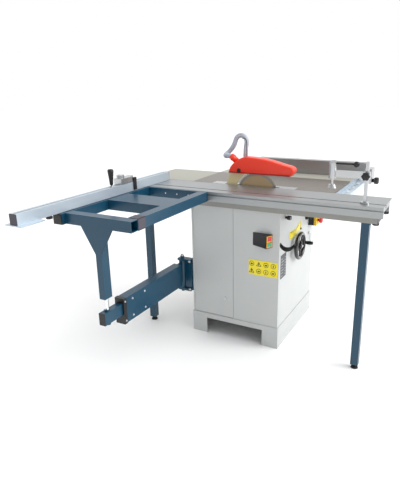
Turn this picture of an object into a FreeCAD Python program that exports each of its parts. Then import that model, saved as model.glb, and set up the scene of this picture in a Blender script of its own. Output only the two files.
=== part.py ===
"""Compact sliding-table panel saw, as a parametric FreeCAD document.

X points to the machine's right, Y to its rear and Z up.  The origin is on the floor, under the
middle of the cabinet.  Every size is in millimetres and lives in the sheet called sizes.
"""
import FreeCAD, Part
import math
import os
import re

import Sketcher

SIZES = {
    # heights of the whole machine
    "table_height": 850, "cab_height": 768,
    # cabinet
    "cab_width": 584, "cab_depth": 528, "sheet_wall": 3, "plinth_height": 123, "plinth_step": 4,
    "foot_width": 92, "arch_height": 94, "foot_flange": 40, "panel_gap": 2, "panel_margin": 12, "barrel_radius": 3,
    "seam_offset": 2, "bearer_depth": 50, "bearer_wall": 5,
    # blade and its unit
    "blade_left": 66, "blade_front": 40, "blade_size": 254, "blade_body": 2.6, "blade_rise": 77,
    "arbor_radius": 15, "flange_radius": 28, "flange_thick": 6, "nut_length": 8,
    "knife_thick": 2.4, "knife_gap": 6, "housing_radius": 23, "housing_start": 14,
    "housing_length": 70, "running_gap": 0.05, "side_gap": 0.5,
    "plate_thick": 10, "frame_front": 190, "frame_back": 175, "guide_radius": 11, "guide_right": 62,
    "guide_inset": 25, "frame_foot": 312, "frame_side": 60, "frame_reach": 110, "frame_head": 40,
    "lug_half": 14, "bar_thick": 12, "motor_radius": 62, "motor_drop": 166, "motor_right": 118,
    "motor_length": 170, "lift_high": 100, "lift_tall": 80, "lift_left": 45, "lift_right": 80,
    "mount_right": 109, "mount_wide": 140, "pulley_right": 88, "pulley_wide": 18, "arbor_pulley": 27,
    "motor_pulley_size": 36, "belt_thick": 5, "arc_radius": 104, "arc_half": 8, "arc_start": 10, "pin_radius": 7.5,
    "bracket_gap": 2, "bracket_low": 112, "screw_radius": 8, "screw_back": 70,
    "box_half": 22, "box_tall": 26, "knife_back": 190, "knife_top": 98,
    # handwheel
    "wheel_right": 36, "wheel_drop": 326, "wheel_radius": 69, "wheel_rim": 11, "wheel_stand": 24,
    "shaft_radius": 8, "hub_radius": 17, "hub_long": 26, "spoke_wide": 12, "grip_radius": 9, "grip_length": 44, "slot_half": 12, "tilt_range": 45,
    # guard
    "guard_width": 60, "guard_wall": 3, "guard_long": 385, "guard_back": 127, "guard_low": 68,
    "guard_tall": 93, "guard_pivot": 60, "guard_pivot_up": 84, "guard_bolt": 8,
    "spigot_radius": 16, "spigot_long": 36,
    # tables
    "slot_gap": 23, "table_gap": 3, "top_thick": 12, "skirt_depth": 45, "skirt_wall": 11,
    "main_width": 354, "main_front": 474, "main_back": 363, "insert_width": 62, "insert_front": 262,
    "insert_back": 236, "insert_thick": 8, "insert_ledge": 6, "slot_left": 12, "slot_right": 5,
    "slot_front": 132, "slot_back": 196, "side_width": 300, "side_depth": 32, "rear_length": 343,
    "table_joint": 0.5, "folded_wall": 3,
    # fence rail and rip fence
    "rail_depth": 72, "rail_shelf": 6, "rail_drop": 7, "rail_height": 43, "rail_bar": 20,
    "rip_offset": 423, "rip_width": 48, "rip_tall": 84, "rip_lift": 1, "rip_front": 521,
    "rip_length": 677, "rip_wall": 4, "head_width": 88, "head_depth": 42, "head_tall": 50,
    "head_reach": 30, "knob_radius": 21, "knob_thick": 18,
    # sliding table and beam
    "carriage_width": 232, "carriage_length": 1360, "carriage_front": 757, "carriage_tall": 52,
    "lip_thick": 12, "lip_out": 9, "band_in": 3, "groove_tall": 8, "right_lip": 55, "right_thin": 6,
    "channel_left": 20, "channel_right": 68, "channel_tall": 30, "tee_in": 64, "tee_mouth": 10,
    "tee_wide": 20, "tee_depth": 7, "tee_foot": 7, "beam_width": 123, "beam_out": 11,
    "beam_length": 1340, "beam_front": 733, "beam_tall": 27, "rail_wide": 90, "rail_in": 23,
    "rail_tall": 20, "roller_radius": 6, "roller_reach": 250, "roller_long": 70,
    # legs of the beam
    "leg_size": 38, "leg_wall": 3, "leg_foot": 22, "front_leg_y": 699, "rear_leg_y": 533,
    "foot_radius": 19, "foot_tall": 10, "foot_stem": 6,
    # outrigger
    "tube_tall": 50, "tube_wide": 50, "tube_wall": 3, "tube_drop": 1, "frame_left": 985,
    "cross_wide": 51, "frame_y": 137, "frame_span": 414, "plank_left": 692,
    "plank_wide": 165, "far_thick": 16, "rear_over": 22, "gusset_thick": 6, "gusset_wide": 176,
    "gusset_drop": 124, "stand_deep": 32, "stand_wide": 50, "stand_low": 460, "stand_y": 328,
    "pin_low": 401.5, "drop_pin": 10,
    # swing arm
    "hinge_x": 292, "hinge_radius": 20, "hinge_pin": 10, "hinge_low": 262, "hinge_high": 431,
    "arm_low": 289, "arm_tall": 130, "arm_wide": 50, "arm_wall": 4, "arm_start": 50,
    "arm_end": 557, "guide_long": 22, "guide_over": 2, "inner_wide": 34, "inner_tall": 60,
    "inner_low": 335, "inner_end": 705, "inner_length": 560, "slide_gap": 0.4, "tail_long": 40,
    "boss_radius": 15, "boss_tall": 5, "bracket_thick": 12,
    # crosscut fence
    "fence_left": 1235, "fence_right": 110, "fence_y": 515, "fence_deep": 42, "fence_tall": 48,
    "fence_wall": 3, "fence_lift": 1, "pivot_x": 100, "pivot_radius": 7, "pivot_tall": 20,
    "tab_thick": 5, "plate_long": 120, "plate_wide": 96, "fence_knob": 1047, "handle_x": 614,
    "handle_tall": 84, "handle_top": 15, "handle_foot": 9, "handle_pin": 4,
    # flip stop
    "stop_left": 560, "stop_long": 124, "stop_tall": 30, "stop_gap": 0.5, "stop_wall": 6,
    "finger_wide": 26, "finger_thick": 4, "finger_drop": 44,
    # hold-down clamp
    "post_y": 662, "post_deep": 14, "post_wide": 24, "post_top": 1043, "post_foot": 22,
    "post_base": 7, "arm_z": 980, "arm_deep": 32, "sleeve_wall": 7, "clamp_y": 503,
    "head_radius": 17, "clamp_high": 1050, "head_low": 958, "pivot_high": 1028, "plunger_radius": 6,
    "pad_radius": 22, "pad_low": 911, "pad_tall": 17, "lever_long": 109, "lever_thick": 8,
    "ball_radius": 14, "clamp_knob_radius": 20,
    # controls
    "switch_front": 221, "switch_long": 109, "switch_out": 38, "switch_nose": 19, "switch_low": 580,
    "switch_tall": 70, "button_radius": 9, "button_out": 5, "button_travel": 4, "button_gap": 0.3,
    "stop_box_left": 198, "stop_box_wide": 66, "stop_box_low": 583, "stop_box_tall": 56,
    "stop_box_deep": 32, "stop_cover": 16, "mushroom_radius": 17, "mushroom_stem": 8,
    "mushroom_out": 30, "lock_x": 205, "lock_z": 726, "lock_radius": 20, "lock_stand": 10, "lock_deep": 20,
    "lock_stem": 7, "lock_latch_y": 54, "lock_latch_z": 238, "latch_radius": 9,
    # dust outlet on the rear of the cabinet
    "port_radius": 50, "port_wall": 3, "port_length": 60, "port_flange": 12, "port_z": 240, "port_x": 120,
    # suction hose
    "hose_size": 28, "cuff_radius": 18, "cuff_long": 42, "wire_radius": 2,
}

doc = FreeCAD.newDocument("panel_saw")
sheet = doc.addObject("Spreadsheet::Sheet", "sizes")
for row, (name, number) in enumerate(SIZES.items(), start=1):
    sheet.set(f"A{row}", name)
    sheet.set(f"B{row}", str(number))
    sheet.setAlias(f"B{row}", name)
doc.recompute()

# Places that several sub-parts share, as expressions of the sheet's names.
cab_left = "-cab_width / 2"
cab_front = "-cab_depth / 2"
cab_right = "cab_width / 2"
cab_back = "cab_depth / 2"
blade_x = "-blade_left"
blade_y = "-blade_front"
arbor_z = "table_height + blade_rise - blade_size / 2"
slide_right = "-blade_left - slot_gap"
slide_left = "-blade_left - slot_gap - carriage_width"
main_left = "-blade_left - slot_gap + table_gap"
main_right = "-blade_left - slot_gap + table_gap + main_width"
insert_right = "-blade_left - slot_gap + table_gap + insert_width"
under_top = "table_height - top_thick"
frame_top = "table_height - tube_drop"
frame_low = "table_height - tube_drop - tube_tall"
frame_right = "-frame_left + cross_wide"
frame_back_y = "frame_y + frame_span"
arm_x = "-hinge_x"
fence_low = "table_height + fence_lift"
fence_top = "table_height + fence_lift + fence_tall"
rip_right = "rip_offset + rip_width"
motor_z = f"{arbor_z} - motor_drop"
motor_x = "-blade_left + motor_right"
wheel_x = "-blade_left + wheel_right"
wheel_z = "table_height - wheel_drop"
tee_x = f"{slide_left} + tee_in"

TURNS = {
    "x": FreeCAD.Rotation(FreeCAD.Vector(0, 1, 0), 90),
    "y": FreeCAD.Rotation(FreeCAD.Vector(1, 0, 0), -90),
    "z": FreeCAD.Rotation(),
}
subparts = []


def bind(piece, field, text):
    """Tie a property to the sheet: every name with an underscore is a cell."""
    piece.setExpression(field, re.sub(r"\b[a-z]+(?:_[a-z]+)+\b", lambda word: "sizes." + word[0], text))


def subpart(piece, label):
    """Mark a finished sub-part, whose label names its file."""
    piece.Label = label
    subparts.append(piece)
    return piece


def block(x, y, z):
    """A box between two expressions on each axis."""
    piece = doc.addObject("Part::Box", "block")
    for field, axis, (low, high) in zip(("Length", "Width", "Height"), "xyz", (x, y, z)):
        bind(piece, field, f"({high}) - ({low})")
        bind(piece, f"Placement.Base.{axis}", low)
    return piece


def rod(axis, low, high, across, radius, top_radius=None):
    """A cylinder or cone along an axis; across gives its place on the two other axes, in order."""
    piece = doc.addObject("Part::Cylinder" if top_radius is None else "Part::Cone", "rod")
    piece.Placement = FreeCAD.Placement(FreeCAD.Vector(), TURNS[axis])
    if top_radius is None:
        bind(piece, "Radius", radius)
    else:
        bind(piece, "Radius1", radius)
        bind(piece, "Radius2", top_radius)
    bind(piece, "Height", f"({high}) - ({low})")
    bind(piece, f"Placement.Base.{axis}", low)
    for other, place in zip([name for name in "xyz" if name != axis], across):
        bind(piece, f"Placement.Base.{other}", place)
    return piece


def fuse(*pieces):
    """One solid from several."""
    piece = doc.addObject("Part::MultiFuse", "fused")
    piece.Shapes = list(pieces)
    piece.Refine = True
    return piece


def cut(base, *tools):
    """A solid with others taken away."""
    piece = doc.addObject("Part::Cut", "cut")
    piece.Base = base
    piece.Tool = tools[0] if len(tools) == 1 else fuse(*tools)
    return piece


def common(*pieces):
    """What several solids share."""
    piece = doc.addObject("Part::MultiCommon", "common")
    piece.Shapes = list(pieces)
    return piece


def group(*pieces):
    """Identical separate solids that share one node."""
    piece = doc.addObject("Part::Compound", "group")
    piece.Links = list(pieces)
    return piece


def tube(axis, x, y, z, wall):
    """A square tube, open at both ends along its axis."""
    outer = block(x, y, z)
    bore = []
    for name, (low, high) in zip("xyz", (x, y, z)):
        grow = "- 1", "+ 1"
        shrink = f"+ {wall}", f"- {wall}"
        ends = grow if name == axis else shrink
        bore.append((f"{low} {ends[0]}", f"{high} {ends[1]}"))
    return cut(outer, block(*bore))


def knob(axis, low, high, across, radius, notch_at):
    """A five-lobed hand knob: a disc with round notches about its rim."""
    disc = rod(axis, low, high, across, radius)
    notches = []
    for index in range(5):
        angle = 72 * index + 36
        first = f"({across[0]}) + ({radius}) * {notch_at} * cos({angle})"
        second = f"({across[1]}) + ({radius}) * {notch_at} * sin({angle})"
        notches.append(rod(axis, f"({low}) - 1", f"({high}) + 1", (first, second), f"({radius}) / 4"))
    return cut(disc, *notches)


def outline(body, role, points, offset):
    """A closed sketch of straight lines; each corner is tied to a pair of expressions."""
    sketch = body.newObject("Sketcher::SketchObject", "outline")
    plane = next(item for item in body.Origin.OriginFeatures if item.Role == role)
    sketch.AttachmentSupport = [(plane, "")]
    sketch.MapMode = "FlatFace"
    bind(sketch, "AttachmentOffset.Base.z", offset)
    count = len(points)
    corners = [
        FreeCAD.Vector(100 * math.cos(2 * math.pi * turn / count), 100 * math.sin(2 * math.pi * turn / count))
        for turn in range(count)
    ]
    for turn in range(count):
        sketch.addGeometry(Part.LineSegment(corners[turn], corners[(turn + 1) % count]))
    for turn in range(count):
        sketch.addConstraint(Sketcher.Constraint("Coincident", turn, 2, (turn + 1) % count, 1))
    for turn, (across, up) in enumerate(points):
        for kind, text, value in (("DistanceX", across, corners[turn].x), ("DistanceY", up, corners[turn].y)):
            index = sketch.addConstraint(Sketcher.Constraint(kind, -1, 1, turn, 1, value))
            bind(sketch, f"Constraints[{index}]", text)
    return sketch


def pad(role, points, low, high):
    """A PartDesign body: an outline padded from low to high along the plane's axis."""
    body = doc.addObject("PartDesign::Body", "body")
    # The XZ plane looks towards -Y, so its pad starts at the high end.
    offset = f"-({high})" if role == "XZ_Plane" else low
    sketch = outline(body, role, points, offset)
    solid = body.newObject("PartDesign::Pad", "pad")
    solid.Profile = sketch
    bind(solid, "Length", f"({high}) - ({low})")
    sketch.Visibility = False
    return body


def size(name):
    """A size read from the sheet, for shapes made with Part's own functions."""
    return float(sheet.get(name))


# --- Cabinet ---------------------------------------------------------------------------------
def plinth():
    """Sheet base with an arch in each side, so that it stands on four corner feet."""
    outer = block((cab_left, cab_right), (cab_front, cab_back), ("0 * cab_width", "plinth_height"))
    inner = block((f"{cab_left} + sheet_wall", f"{cab_right} - sheet_wall"),
                  (f"{cab_front} + sheet_wall", f"{cab_back} - sheet_wall"),
                  ("-sheet_wall", "plinth_height - sheet_wall"))
    well = block((f"{cab_left} + panel_margin", f"{cab_right} - panel_margin"),
                 (f"{cab_front} + panel_margin", f"{cab_back} - panel_margin"),
                 ("0 * plinth_height", "plinth_height + sheet_wall"))
    arch = block((f"{cab_left} - sheet_wall", f"{cab_right} + sheet_wall"),
                 (f"{cab_front} + foot_width", f"{cab_back} - foot_width"),
                 ("-sheet_wall", "arch_height"))
    feet = []
    for side_x in ((f"{cab_left} + sheet_wall", f"{cab_left} + foot_flange"),
                   (f"{cab_right} - foot_flange", f"{cab_right} - sheet_wall")):
        for side_y in ((f"{cab_front} + sheet_wall", f"{cab_front} + foot_flange"),
                       (f"{cab_back} - foot_flange", f"{cab_back} - sheet_wall")):
            feet.append(block(side_x, side_y, ("0 * cab_width", "sheet_wall")))
    return [cut(outer, inner, well, arch), *feet]


def cabinet():
    """Upper sheet shell: open at the top, with the panel opening, the arc slot and the outlet."""
    left, right = f"{cab_left} + plinth_step", f"{cab_right} - plinth_step"
    front, back = f"{cab_front} + plinth_step", f"{cab_back} - plinth_step"
    outer = block((left, right), (front, back), ("plinth_height", "cab_height"))
    inner = block((f"{left} + sheet_wall", f"{right} - sheet_wall"),
                  (f"{front} + sheet_wall", f"{back} - sheet_wall"),
                  ("plinth_height - 1", "cab_height + 1"))
    opening = block((f"{left} - 1", f"{left} + sheet_wall + 1"),
                    ("seam_offset", f"{back} - sheet_wall"),
                    ("plinth_height + panel_gap", "cab_height - panel_gap"))
    outlet = rod("y", f"{back} - sheet_wall - 1", f"{back} + 1", ("port_x", "port_z"),
                 "port_radius - port_wall")
    stem = rod("y", f"{front} - 1", f"{front} + sheet_wall + 1", ("-lock_x", "lock_z"),
               "lock_stem + button_gap")
    shell = cut(outer, inner, opening, outlet, stem, wheel_slot(front))
    lip_x = (f"{left} + sheet_wall", f"{left} + 2 * sheet_wall")
    low, high = "plinth_height", "cab_height"
    near = block(lip_x, ("seam_offset - panel_margin", "seam_offset + panel_margin"), (low, high))
    far = block(lip_x, (f"{back} - sheet_wall - panel_margin", f"{back} - sheet_wall"), (low, high))
    sill = block(lip_x, ("seam_offset", f"{back} - sheet_wall"), (low, f"{low} + panel_margin"))
    head = block(lip_x, ("seam_offset", f"{back} - sheet_wall"), (f"{high} - panel_margin", high))
    flange = rod("y", back, f"{back} + port_wall", ("port_x", "port_z"), "port_radius + port_flange")
    pipe = rod("y", back, f"{back} + port_length", ("port_x", "port_z"), "port_radius")
    bore = rod("y", f"{back} - 1", f"{back} + port_length + 1", ("port_x", "port_z"),
               "port_radius - port_wall")
    subpart(cut(fuse(flange, pipe), bore), "dust_outlet")
    subpart(fuse(shell, near, far, sill, head, *plinth(), *bearers()), "cabinet_shell")

    door = block((left, f"{left} + sheet_wall - side_gap"),
                 ("seam_offset + panel_gap", f"{back} - sheet_wall - panel_gap"),
                 ("plinth_height + 2 * panel_gap", "cab_height - 2 * panel_gap"))
    latch_hole = rod("x", f"{left} - 1", f"{left} + sheet_wall + 1", ("lock_latch_y", "lock_latch_z"),
                     "latch_radius + button_gap")
    barrel = rod("z", "plinth_height + 2 * panel_gap", "cab_height - 2 * panel_gap",
                 (f"{left} - barrel_radius + side_gap", f"{back} - sheet_wall - 2 * panel_gap"),
                 "barrel_radius")
    subpart(fuse(cut(door, latch_hole), barrel), "access_panel")
    latch = rod("x", f"{left} - sheet_wall", f"{left} + 4 * sheet_wall",
                ("lock_latch_y", "lock_latch_z"), "latch_radius")
    slit = block((f"{left} - sheet_wall - 1", f"{left} - sheet_wall + 2"),
                 ("lock_latch_y - 1", "lock_latch_y + 1"),
                 ("lock_latch_z - latch_radius / 2", "lock_latch_z + latch_radius / 2"))
    subpart(cut(latch, slit), "panel_latch")


def wheel_slot(front):
    """Arc slot for the handwheel shaft, centred on the tilt axis at the table top."""
    reach = "sqrt(wheel_drop ^ 2 + wheel_right ^ 2)"
    centre = (blade_x, "table_height")
    deep = (f"{front} - 1", f"{front} + sheet_wall + 1")
    ring = cut(rod("y", *deep, centre, f"{reach} + slot_half"),
               rod("y", f"{deep[0]} - 1", f"{deep[1]} + 1", centre, f"{reach} - slot_half"))
    corners = [centre]
    ends = []
    for turn in ("0", "tilt_range"):
        right = f"(wheel_right * cos({turn}) - wheel_drop * sin({turn}))"
        drop = f"(wheel_drop * cos({turn}) + wheel_right * sin({turn}))"
        corners.append((f"{blade_x} + 1.3 * {right}", f"table_height - 1.3 * {drop}"))
        ends.append(rod("y", *deep, (f"{blade_x} + {right}", f"table_height - {drop}"), "slot_half"))
    return fuse(common(ring, pad("XZ_Plane", corners, *deep)), *ends)


def bearers():
    """Two channels across the cabinet's top that carry the cast table."""
    pieces = []
    for low, high in ((f"{cab_front} + plinth_step", f"{cab_front} + plinth_step + bearer_depth"),
                      (f"{cab_back} - plinth_step - bearer_depth", f"{cab_back} - plinth_step")):
        solid = block((f"{main_left} - bearer_depth", f"{main_right} - bearer_depth"),
                      (low, high), ("cab_height", under_top))
        hollow = block((f"{main_left} - bearer_depth - 1", f"{main_right} - bearer_depth + 1"),
                       (f"{low} + bearer_wall", f"{high} - bearer_wall"),
                       ("cab_height + bearer_wall", f"{under_top} - bearer_wall"))
        pieces.append(cut(solid, hollow))
    return pieces


# --- Tables ----------------------------------------------------------------------------------
def main_table():
    """Ribbed cast table with a pocket for the insert at its left edge."""
    top = block((main_left, main_right), ("-main_front", "main_back"), (under_top, "table_height"))
    skirt_z = ("table_height - skirt_depth", under_top)
    front = block((insert_right, main_right), ("-main_front", "-main_front + skirt_wall"), skirt_z)
    back = block((insert_right, main_right), ("main_back - skirt_wall", "main_back"), skirt_z)
    side = block((f"{main_right} - skirt_wall", main_right), ("-main_front", "main_back"), skirt_z)
    rib = block((f"{main_right} - main_width / 3", f"{main_right} - main_width / 3 + skirt_wall"),
                ("-main_front", f"{cab_front} - skirt_wall"), skirt_z)
    pocket = block((f"{main_left} - 1", f"{insert_right} + table_joint"),
                   ("-insert_front - table_joint", "insert_back + table_joint"),
                   ("table_height - insert_thick", "table_height + 1"))
    well = block((f"{main_left} - 1", f"{insert_right} - insert_ledge"),
                 ("-insert_front + insert_ledge", "insert_back - insert_ledge"),
                 (f"{under_top} - 1", "table_height"))
    subpart(cut(fuse(top, front, back, side, rib), pocket, well), "main_table")

    plate = block((main_left, insert_right), ("-insert_front", "insert_back"),
                  ("table_height - insert_thick", "table_height"))
    slot = block((f"{blade_x} - slot_left", f"{blade_x} + slot_right"),
                 (f"{blade_y} - slot_front", f"{blade_y} + slot_back"),
                 ("table_height - insert_thick - 1", "table_height + 1"))
    subpart(cut(plate, slot), "table_insert")


def extension_tables():
    """Folded sheet tables at the right and behind the cast one."""
    side_x = (f"{main_right} + table_joint", f"{main_right} + table_joint + side_width")
    side = cut(block(side_x, ("-main_front", "main_back"), ("table_height - side_depth", "table_height")),
               block((f"{side_x[0]} + folded_wall", f"{side_x[1]} - folded_wall"),
                     ("-main_front + folded_wall", "main_back - folded_wall"),
                     ("table_height - side_depth - 1", "table_height - folded_wall")))
    subpart(side, "side_table")
    rear_y = ("main_back + table_joint", "main_back + table_joint + rear_length")
    rear = cut(block((main_left, main_right), rear_y, ("table_height - side_depth", "table_height")),
               block((f"{main_left} + folded_wall", f"{main_right} - folded_wall"),
                     (f"{rear_y[0]} + folded_wall", f"{rear_y[1]} - folded_wall"),
                     ("table_height - side_depth - 1", "table_height - folded_wall")))
    subpart(rear, "rear_table")


def fence_rail():
    """Front rail of the rip fence: a wall against the tables, a slotted shelf and a raised bar."""
    ends = (main_left, f"{main_right} + table_joint + side_width")
    far, near = "-main_front - table_joint", "-main_front - table_joint - rail_depth"
    top = "table_height - rail_drop"
    bottom = "table_height - rail_drop - rail_height"
    wall = block(ends, (f"{far} - rail_shelf", far), (bottom, top))
    shelf = block(ends, (near, far), (f"{bottom} + rail_bar", f"{bottom} + rail_bar + rail_shelf"))
    bar = block(ends, (near, f"{near} + rail_bar"), (f"{bottom} + rail_bar", top))
    slots = []
    for step in range(5):
        start = f"{main_left} + (0.08 + 0.19 * {step}) * (main_width + side_width)"
        slots.append(block((start, f"{start} + 3 * rail_bar"),
                           (f"{near} + rail_depth * 0.5", f"{near} + rail_depth * 0.7"),
                           (f"{bottom} + rail_bar - 1", f"{bottom} + rail_bar + rail_shelf + 1")))
    subpart(cut(fuse(wall, shelf, bar), *slots), "fence_rail")


# --- Sliding table, its beam and legs --------------------------------------------------------
def beam():
    """Fixed aluminium beam with the rail on which the sliding table rolls."""
    left, right = f"{cab_left} - beam_out", f"{cab_left} - beam_out + beam_width"
    y = ("-beam_front", "-beam_front + beam_length")
    base = block((left, right), y, ("cab_height", "cab_height + beam_tall"))
    rail = block((f"{left} + rail_in", f"{left} + rail_in + rail_wide"), y,
                 ("cab_height + beam_tall", "cab_height + beam_tall + rail_tall"))
    bore = block((f"{left} + rail_in + leg_wall", f"{left} + rail_in + rail_wide - leg_wall"),
                 (f"{y[0]} - 1", f"{y[1]} + 1"),
                 ("cab_height + leg_wall", "cab_height + beam_tall + rail_tall - 2 * leg_wall"))
    subpart(cut(fuse(base, rail), bore), "slide_beam")


def sliding_table():
    """Hollow extrusion: top with a T-slot, stepped left flank and a thin right lip."""
    left, right, top = slide_left, slide_right, "table_height"
    floor = "table_height - carriage_tall"
    lip = "table_height - lip_thick"
    band = "table_height - lip_thick - groove_tall"
    thin = "table_height - right_thin"
    section = pad("XZ_Plane", [
        (left, top), (right, top), (right, thin), (f"{right} - right_lip", thin),
        (f"{right} - right_lip", floor), (f"{right} - channel_right", floor),
        (f"{right} - channel_right", f"{floor} + channel_tall"),
        (f"{left} + channel_left", f"{floor} + channel_tall"),
        (f"{left} + channel_left", floor), (f"{left} + band_in", floor),
        (f"{left} + band_in", band), (f"{left} + lip_out", band),
        (f"{left} + lip_out", lip), (left, lip),
    ], "-carriage_front", "-carriage_front + carriage_length")
    y = ("-carriage_front - 1", "-carriage_front + carriage_length + 1")
    mouth = block((f"{tee_x} - tee_mouth / 2", f"{tee_x} + tee_mouth / 2"), y,
                  ("table_height - tee_depth - 1", "table_height + 1"))
    tee = block((f"{tee_x} - tee_wide / 2", f"{tee_x} + tee_wide / 2"), y,
                ("table_height - tee_depth - tee_foot", "table_height - tee_depth"))
    subpart(cut(section, mouth, tee), "sliding_table")

    rollers = []
    rail_top = "cab_height + beam_tall + rail_tall"
    for step in range(4):
        place = f"-roller_reach + {step} * roller_reach * 2 / 3"
        middle = f"{cab_left} - beam_out + rail_in + rail_wide / 2"
        rollers.append(rod("x", f"{middle} - roller_long / 2", f"{middle} + roller_long / 2",
                           (place, f"{rail_top} + roller_radius + button_gap"), "roller_radius"))
    subpart(group(*rollers), "carriage_rollers")


def legs():
    """Two square legs under the beam, each with a screwed foot."""
    left = f"{cab_left} - beam_out"
    posts, feet = [], []
    for y in ("-front_leg_y", "rear_leg_y"):
        x_span, y_span = (left, f"{left} + leg_size"), (y, f"{y} + leg_size")
        post = tube("z", x_span, y_span, ("leg_foot", "cab_height"), "leg_wall")
        sole = block(x_span, y_span, ("leg_foot", "leg_foot + leg_wall"))
        cap = block(x_span, y_span, ("cab_height - leg_wall", "cab_height"))
        posts.append(fuse(post, sole, cap))
        centre = (f"{left} + leg_size / 2", f"{y} + leg_size / 2")
        feet.append(fuse(rod("z", "0 * leg_size", "foot_tall", centre, "foot_radius", "foot_radius * 0.8"),
                         rod("z", "foot_tall", "leg_foot", centre, "foot_stem")))
    subpart(group(*posts), "beam_legs")
    subpart(group(*feet), "leg_feet")


# --- Outrigger -------------------------------------------------------------------------------
def outrigger():
    """Tube frame that hangs on the sliding table and carries the crosscut fence."""
    z = (frame_low, frame_top)
    front = tube("x", (frame_right, slide_left), ("frame_y", "frame_y + tube_wide"), z, "tube_wall")
    subpart(front, "outrigger_front_tube")
    rear_y = (f"{frame_back_y} - tube_wide", frame_back_y)
    rear = tube("x", ("-frame_left - rear_over", slide_left), rear_y, z, "tube_wall")
    subpart(rear, "outrigger_rear_tube")
    near_y = ("frame_y", f"{frame_back_y} - tube_wide")
    near = tube("y", ("-frame_left", frame_right), near_y, z, "tube_wall")
    subpart(near, "outrigger_side_tube")
    between = ("frame_y + tube_wide", f"{frame_back_y} - tube_wide")
    plank = tube("y", ("-plank_left", "-plank_left + plank_wide"), between, z, "tube_wall")
    bar = block((f"{slide_left} - far_thick", slide_left), between, z)
    subpart(group(plank, bar), "outrigger_crossbars")

    stand_x = ("-frame_left", "-frame_left + stand_wide")
    stand_y = ("stand_y - stand_deep / 2", "stand_y + stand_deep / 2")
    post = tube("z", stand_x, stand_y, ("stand_low", frame_low), "tube_wall")
    sole = block(stand_x, stand_y, ("stand_low", "stand_low + tube_wall"))
    gusset = pad("YZ_Plane", [
        ("stand_y - gusset_wide / 2", frame_low), ("stand_y + gusset_wide / 2", frame_low),
        ("stand_y + stand_deep / 2", f"{frame_low} - gusset_drop"),
        ("stand_y - stand_deep / 2", f"{frame_low} - gusset_drop"),
    ], "-frame_left", "-frame_left + gusset_thick")
    subpart(fuse(post, sole, gusset), "outrigger_leg")
    centre = ("-frame_left + stand_wide / 2", "stand_y")
    subpart(rod("z", "pin_low", "stand_low", centre, "drop_pin"), "drop_pin")


# --- Swing arm -------------------------------------------------------------------------------
def swing_arm():
    """Folding support arm: bracket with its pin, outer box, guide and telescopic inner box."""
    hinge = (arm_x, "stand_y")
    back = f"{cab_back} - plinth_step"
    lug_x = (f"{arm_x} - hinge_radius", f"{arm_x} + hinge_radius")
    lug_y = (f"{cab_back}", "stand_y + hinge_radius")
    plate = block((f"{cab_left} + plinth_step", f"{cab_left} + 5 * bracket_thick"),
                  (back, f"{back} + bracket_thick / 2"),
                  ("hinge_low - bracket_thick", "hinge_high + bracket_thick"))
    web = block((f"{arm_x} - bracket_thick / 2", f"{arm_x} + bracket_thick / 2"),
                (f"{cab_back}", "stand_y - hinge_radius - 2 * panel_gap"),
                ("hinge_low - bracket_thick", "hinge_high + bracket_thick"))
    top = block(lug_x, lug_y, ("hinge_high", "hinge_high + bracket_thick"))
    low = block(lug_x, lug_y, ("hinge_low - bracket_thick", "hinge_low"))
    bolt = rod("z", "hinge_low - 2 * bracket_thick", "hinge_high + 2 * bracket_thick", hinge, "hinge_pin")
    subpart(fuse(plate, web, top, low, bolt), "arm_bracket")

    y = ("stand_y - arm_wide / 2", "stand_y + arm_wide / 2")
    z = ("arm_low", "arm_low + arm_tall")
    outer = tube("x", ("-hinge_x - arm_end", "-hinge_x - arm_start"), y, z, "arm_wall")
    end = block(("-hinge_x - arm_start - arm_wall", "-hinge_x - arm_start"), y, z)
    link = block(("-hinge_x - arm_start", "-hinge_x - hinge_radius / 2"),
                 ("stand_y - arm_wall", "stand_y + arm_wall"), z)
    sleeve = rod("z", "hinge_low + side_gap", "hinge_high - side_gap", hinge, "hinge_radius")
    bore = rod("z", "hinge_low", "hinge_high", hinge, "hinge_pin + running_gap")
    subpart(cut(fuse(outer, end, link, sleeve), bore), "swing_arm_outer")

    guide = block(("-hinge_x - arm_end - guide_long", "-hinge_x - arm_end"),
                  (f"{y[0]} - guide_over", f"{y[1]} + guide_over"),
                  (f"{z[0]} - guide_over", f"{z[1]} + guide_over"))
    inner_y = ("stand_y - inner_wide / 2", "stand_y + inner_wide / 2")
    inner_z = ("inner_low", "inner_low + inner_tall")
    mouth = block(("-hinge_x - arm_end - guide_long - 1", "-hinge_x - arm_end + 1"),
                  (f"{inner_y[0]} - slide_gap", f"{inner_y[1]} + slide_gap"),
                  (f"{inner_z[0]} - slide_gap", f"{inner_z[1]} + slide_gap"))
    subpart(cut(guide, mouth), "swing_arm_guide")

    start = "-hinge_x - inner_end"
    bar = tube("x", (start, f"{start} + inner_length"), inner_y, inner_z, "tube_wall")
    nose = block((start, f"{start} + tube_wall"), inner_y, inner_z)
    tail = block((f"{start} + inner_length", f"{start} + inner_length + tail_long"),
                 (f"{y[0]} + arm_wall + slide_gap", f"{y[1]} - arm_wall - slide_gap"),
                 (f"{z[0]} + arm_wall + slide_gap", f"{z[1]} - arm_wall - slide_gap"))
    centre = ("-frame_left + stand_wide / 2", "stand_y")
    collar = rod("z", inner_z[1], f"{inner_z[1]} + boss_tall", centre, "boss_radius")
    nut = rod("z", f"{inner_z[0]} - 2 * boss_tall", inner_z[0], centre, "boss_radius * 0.8")
    subpart(fuse(bar, nose, tail, collar, nut), "swing_arm_inner")


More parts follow.
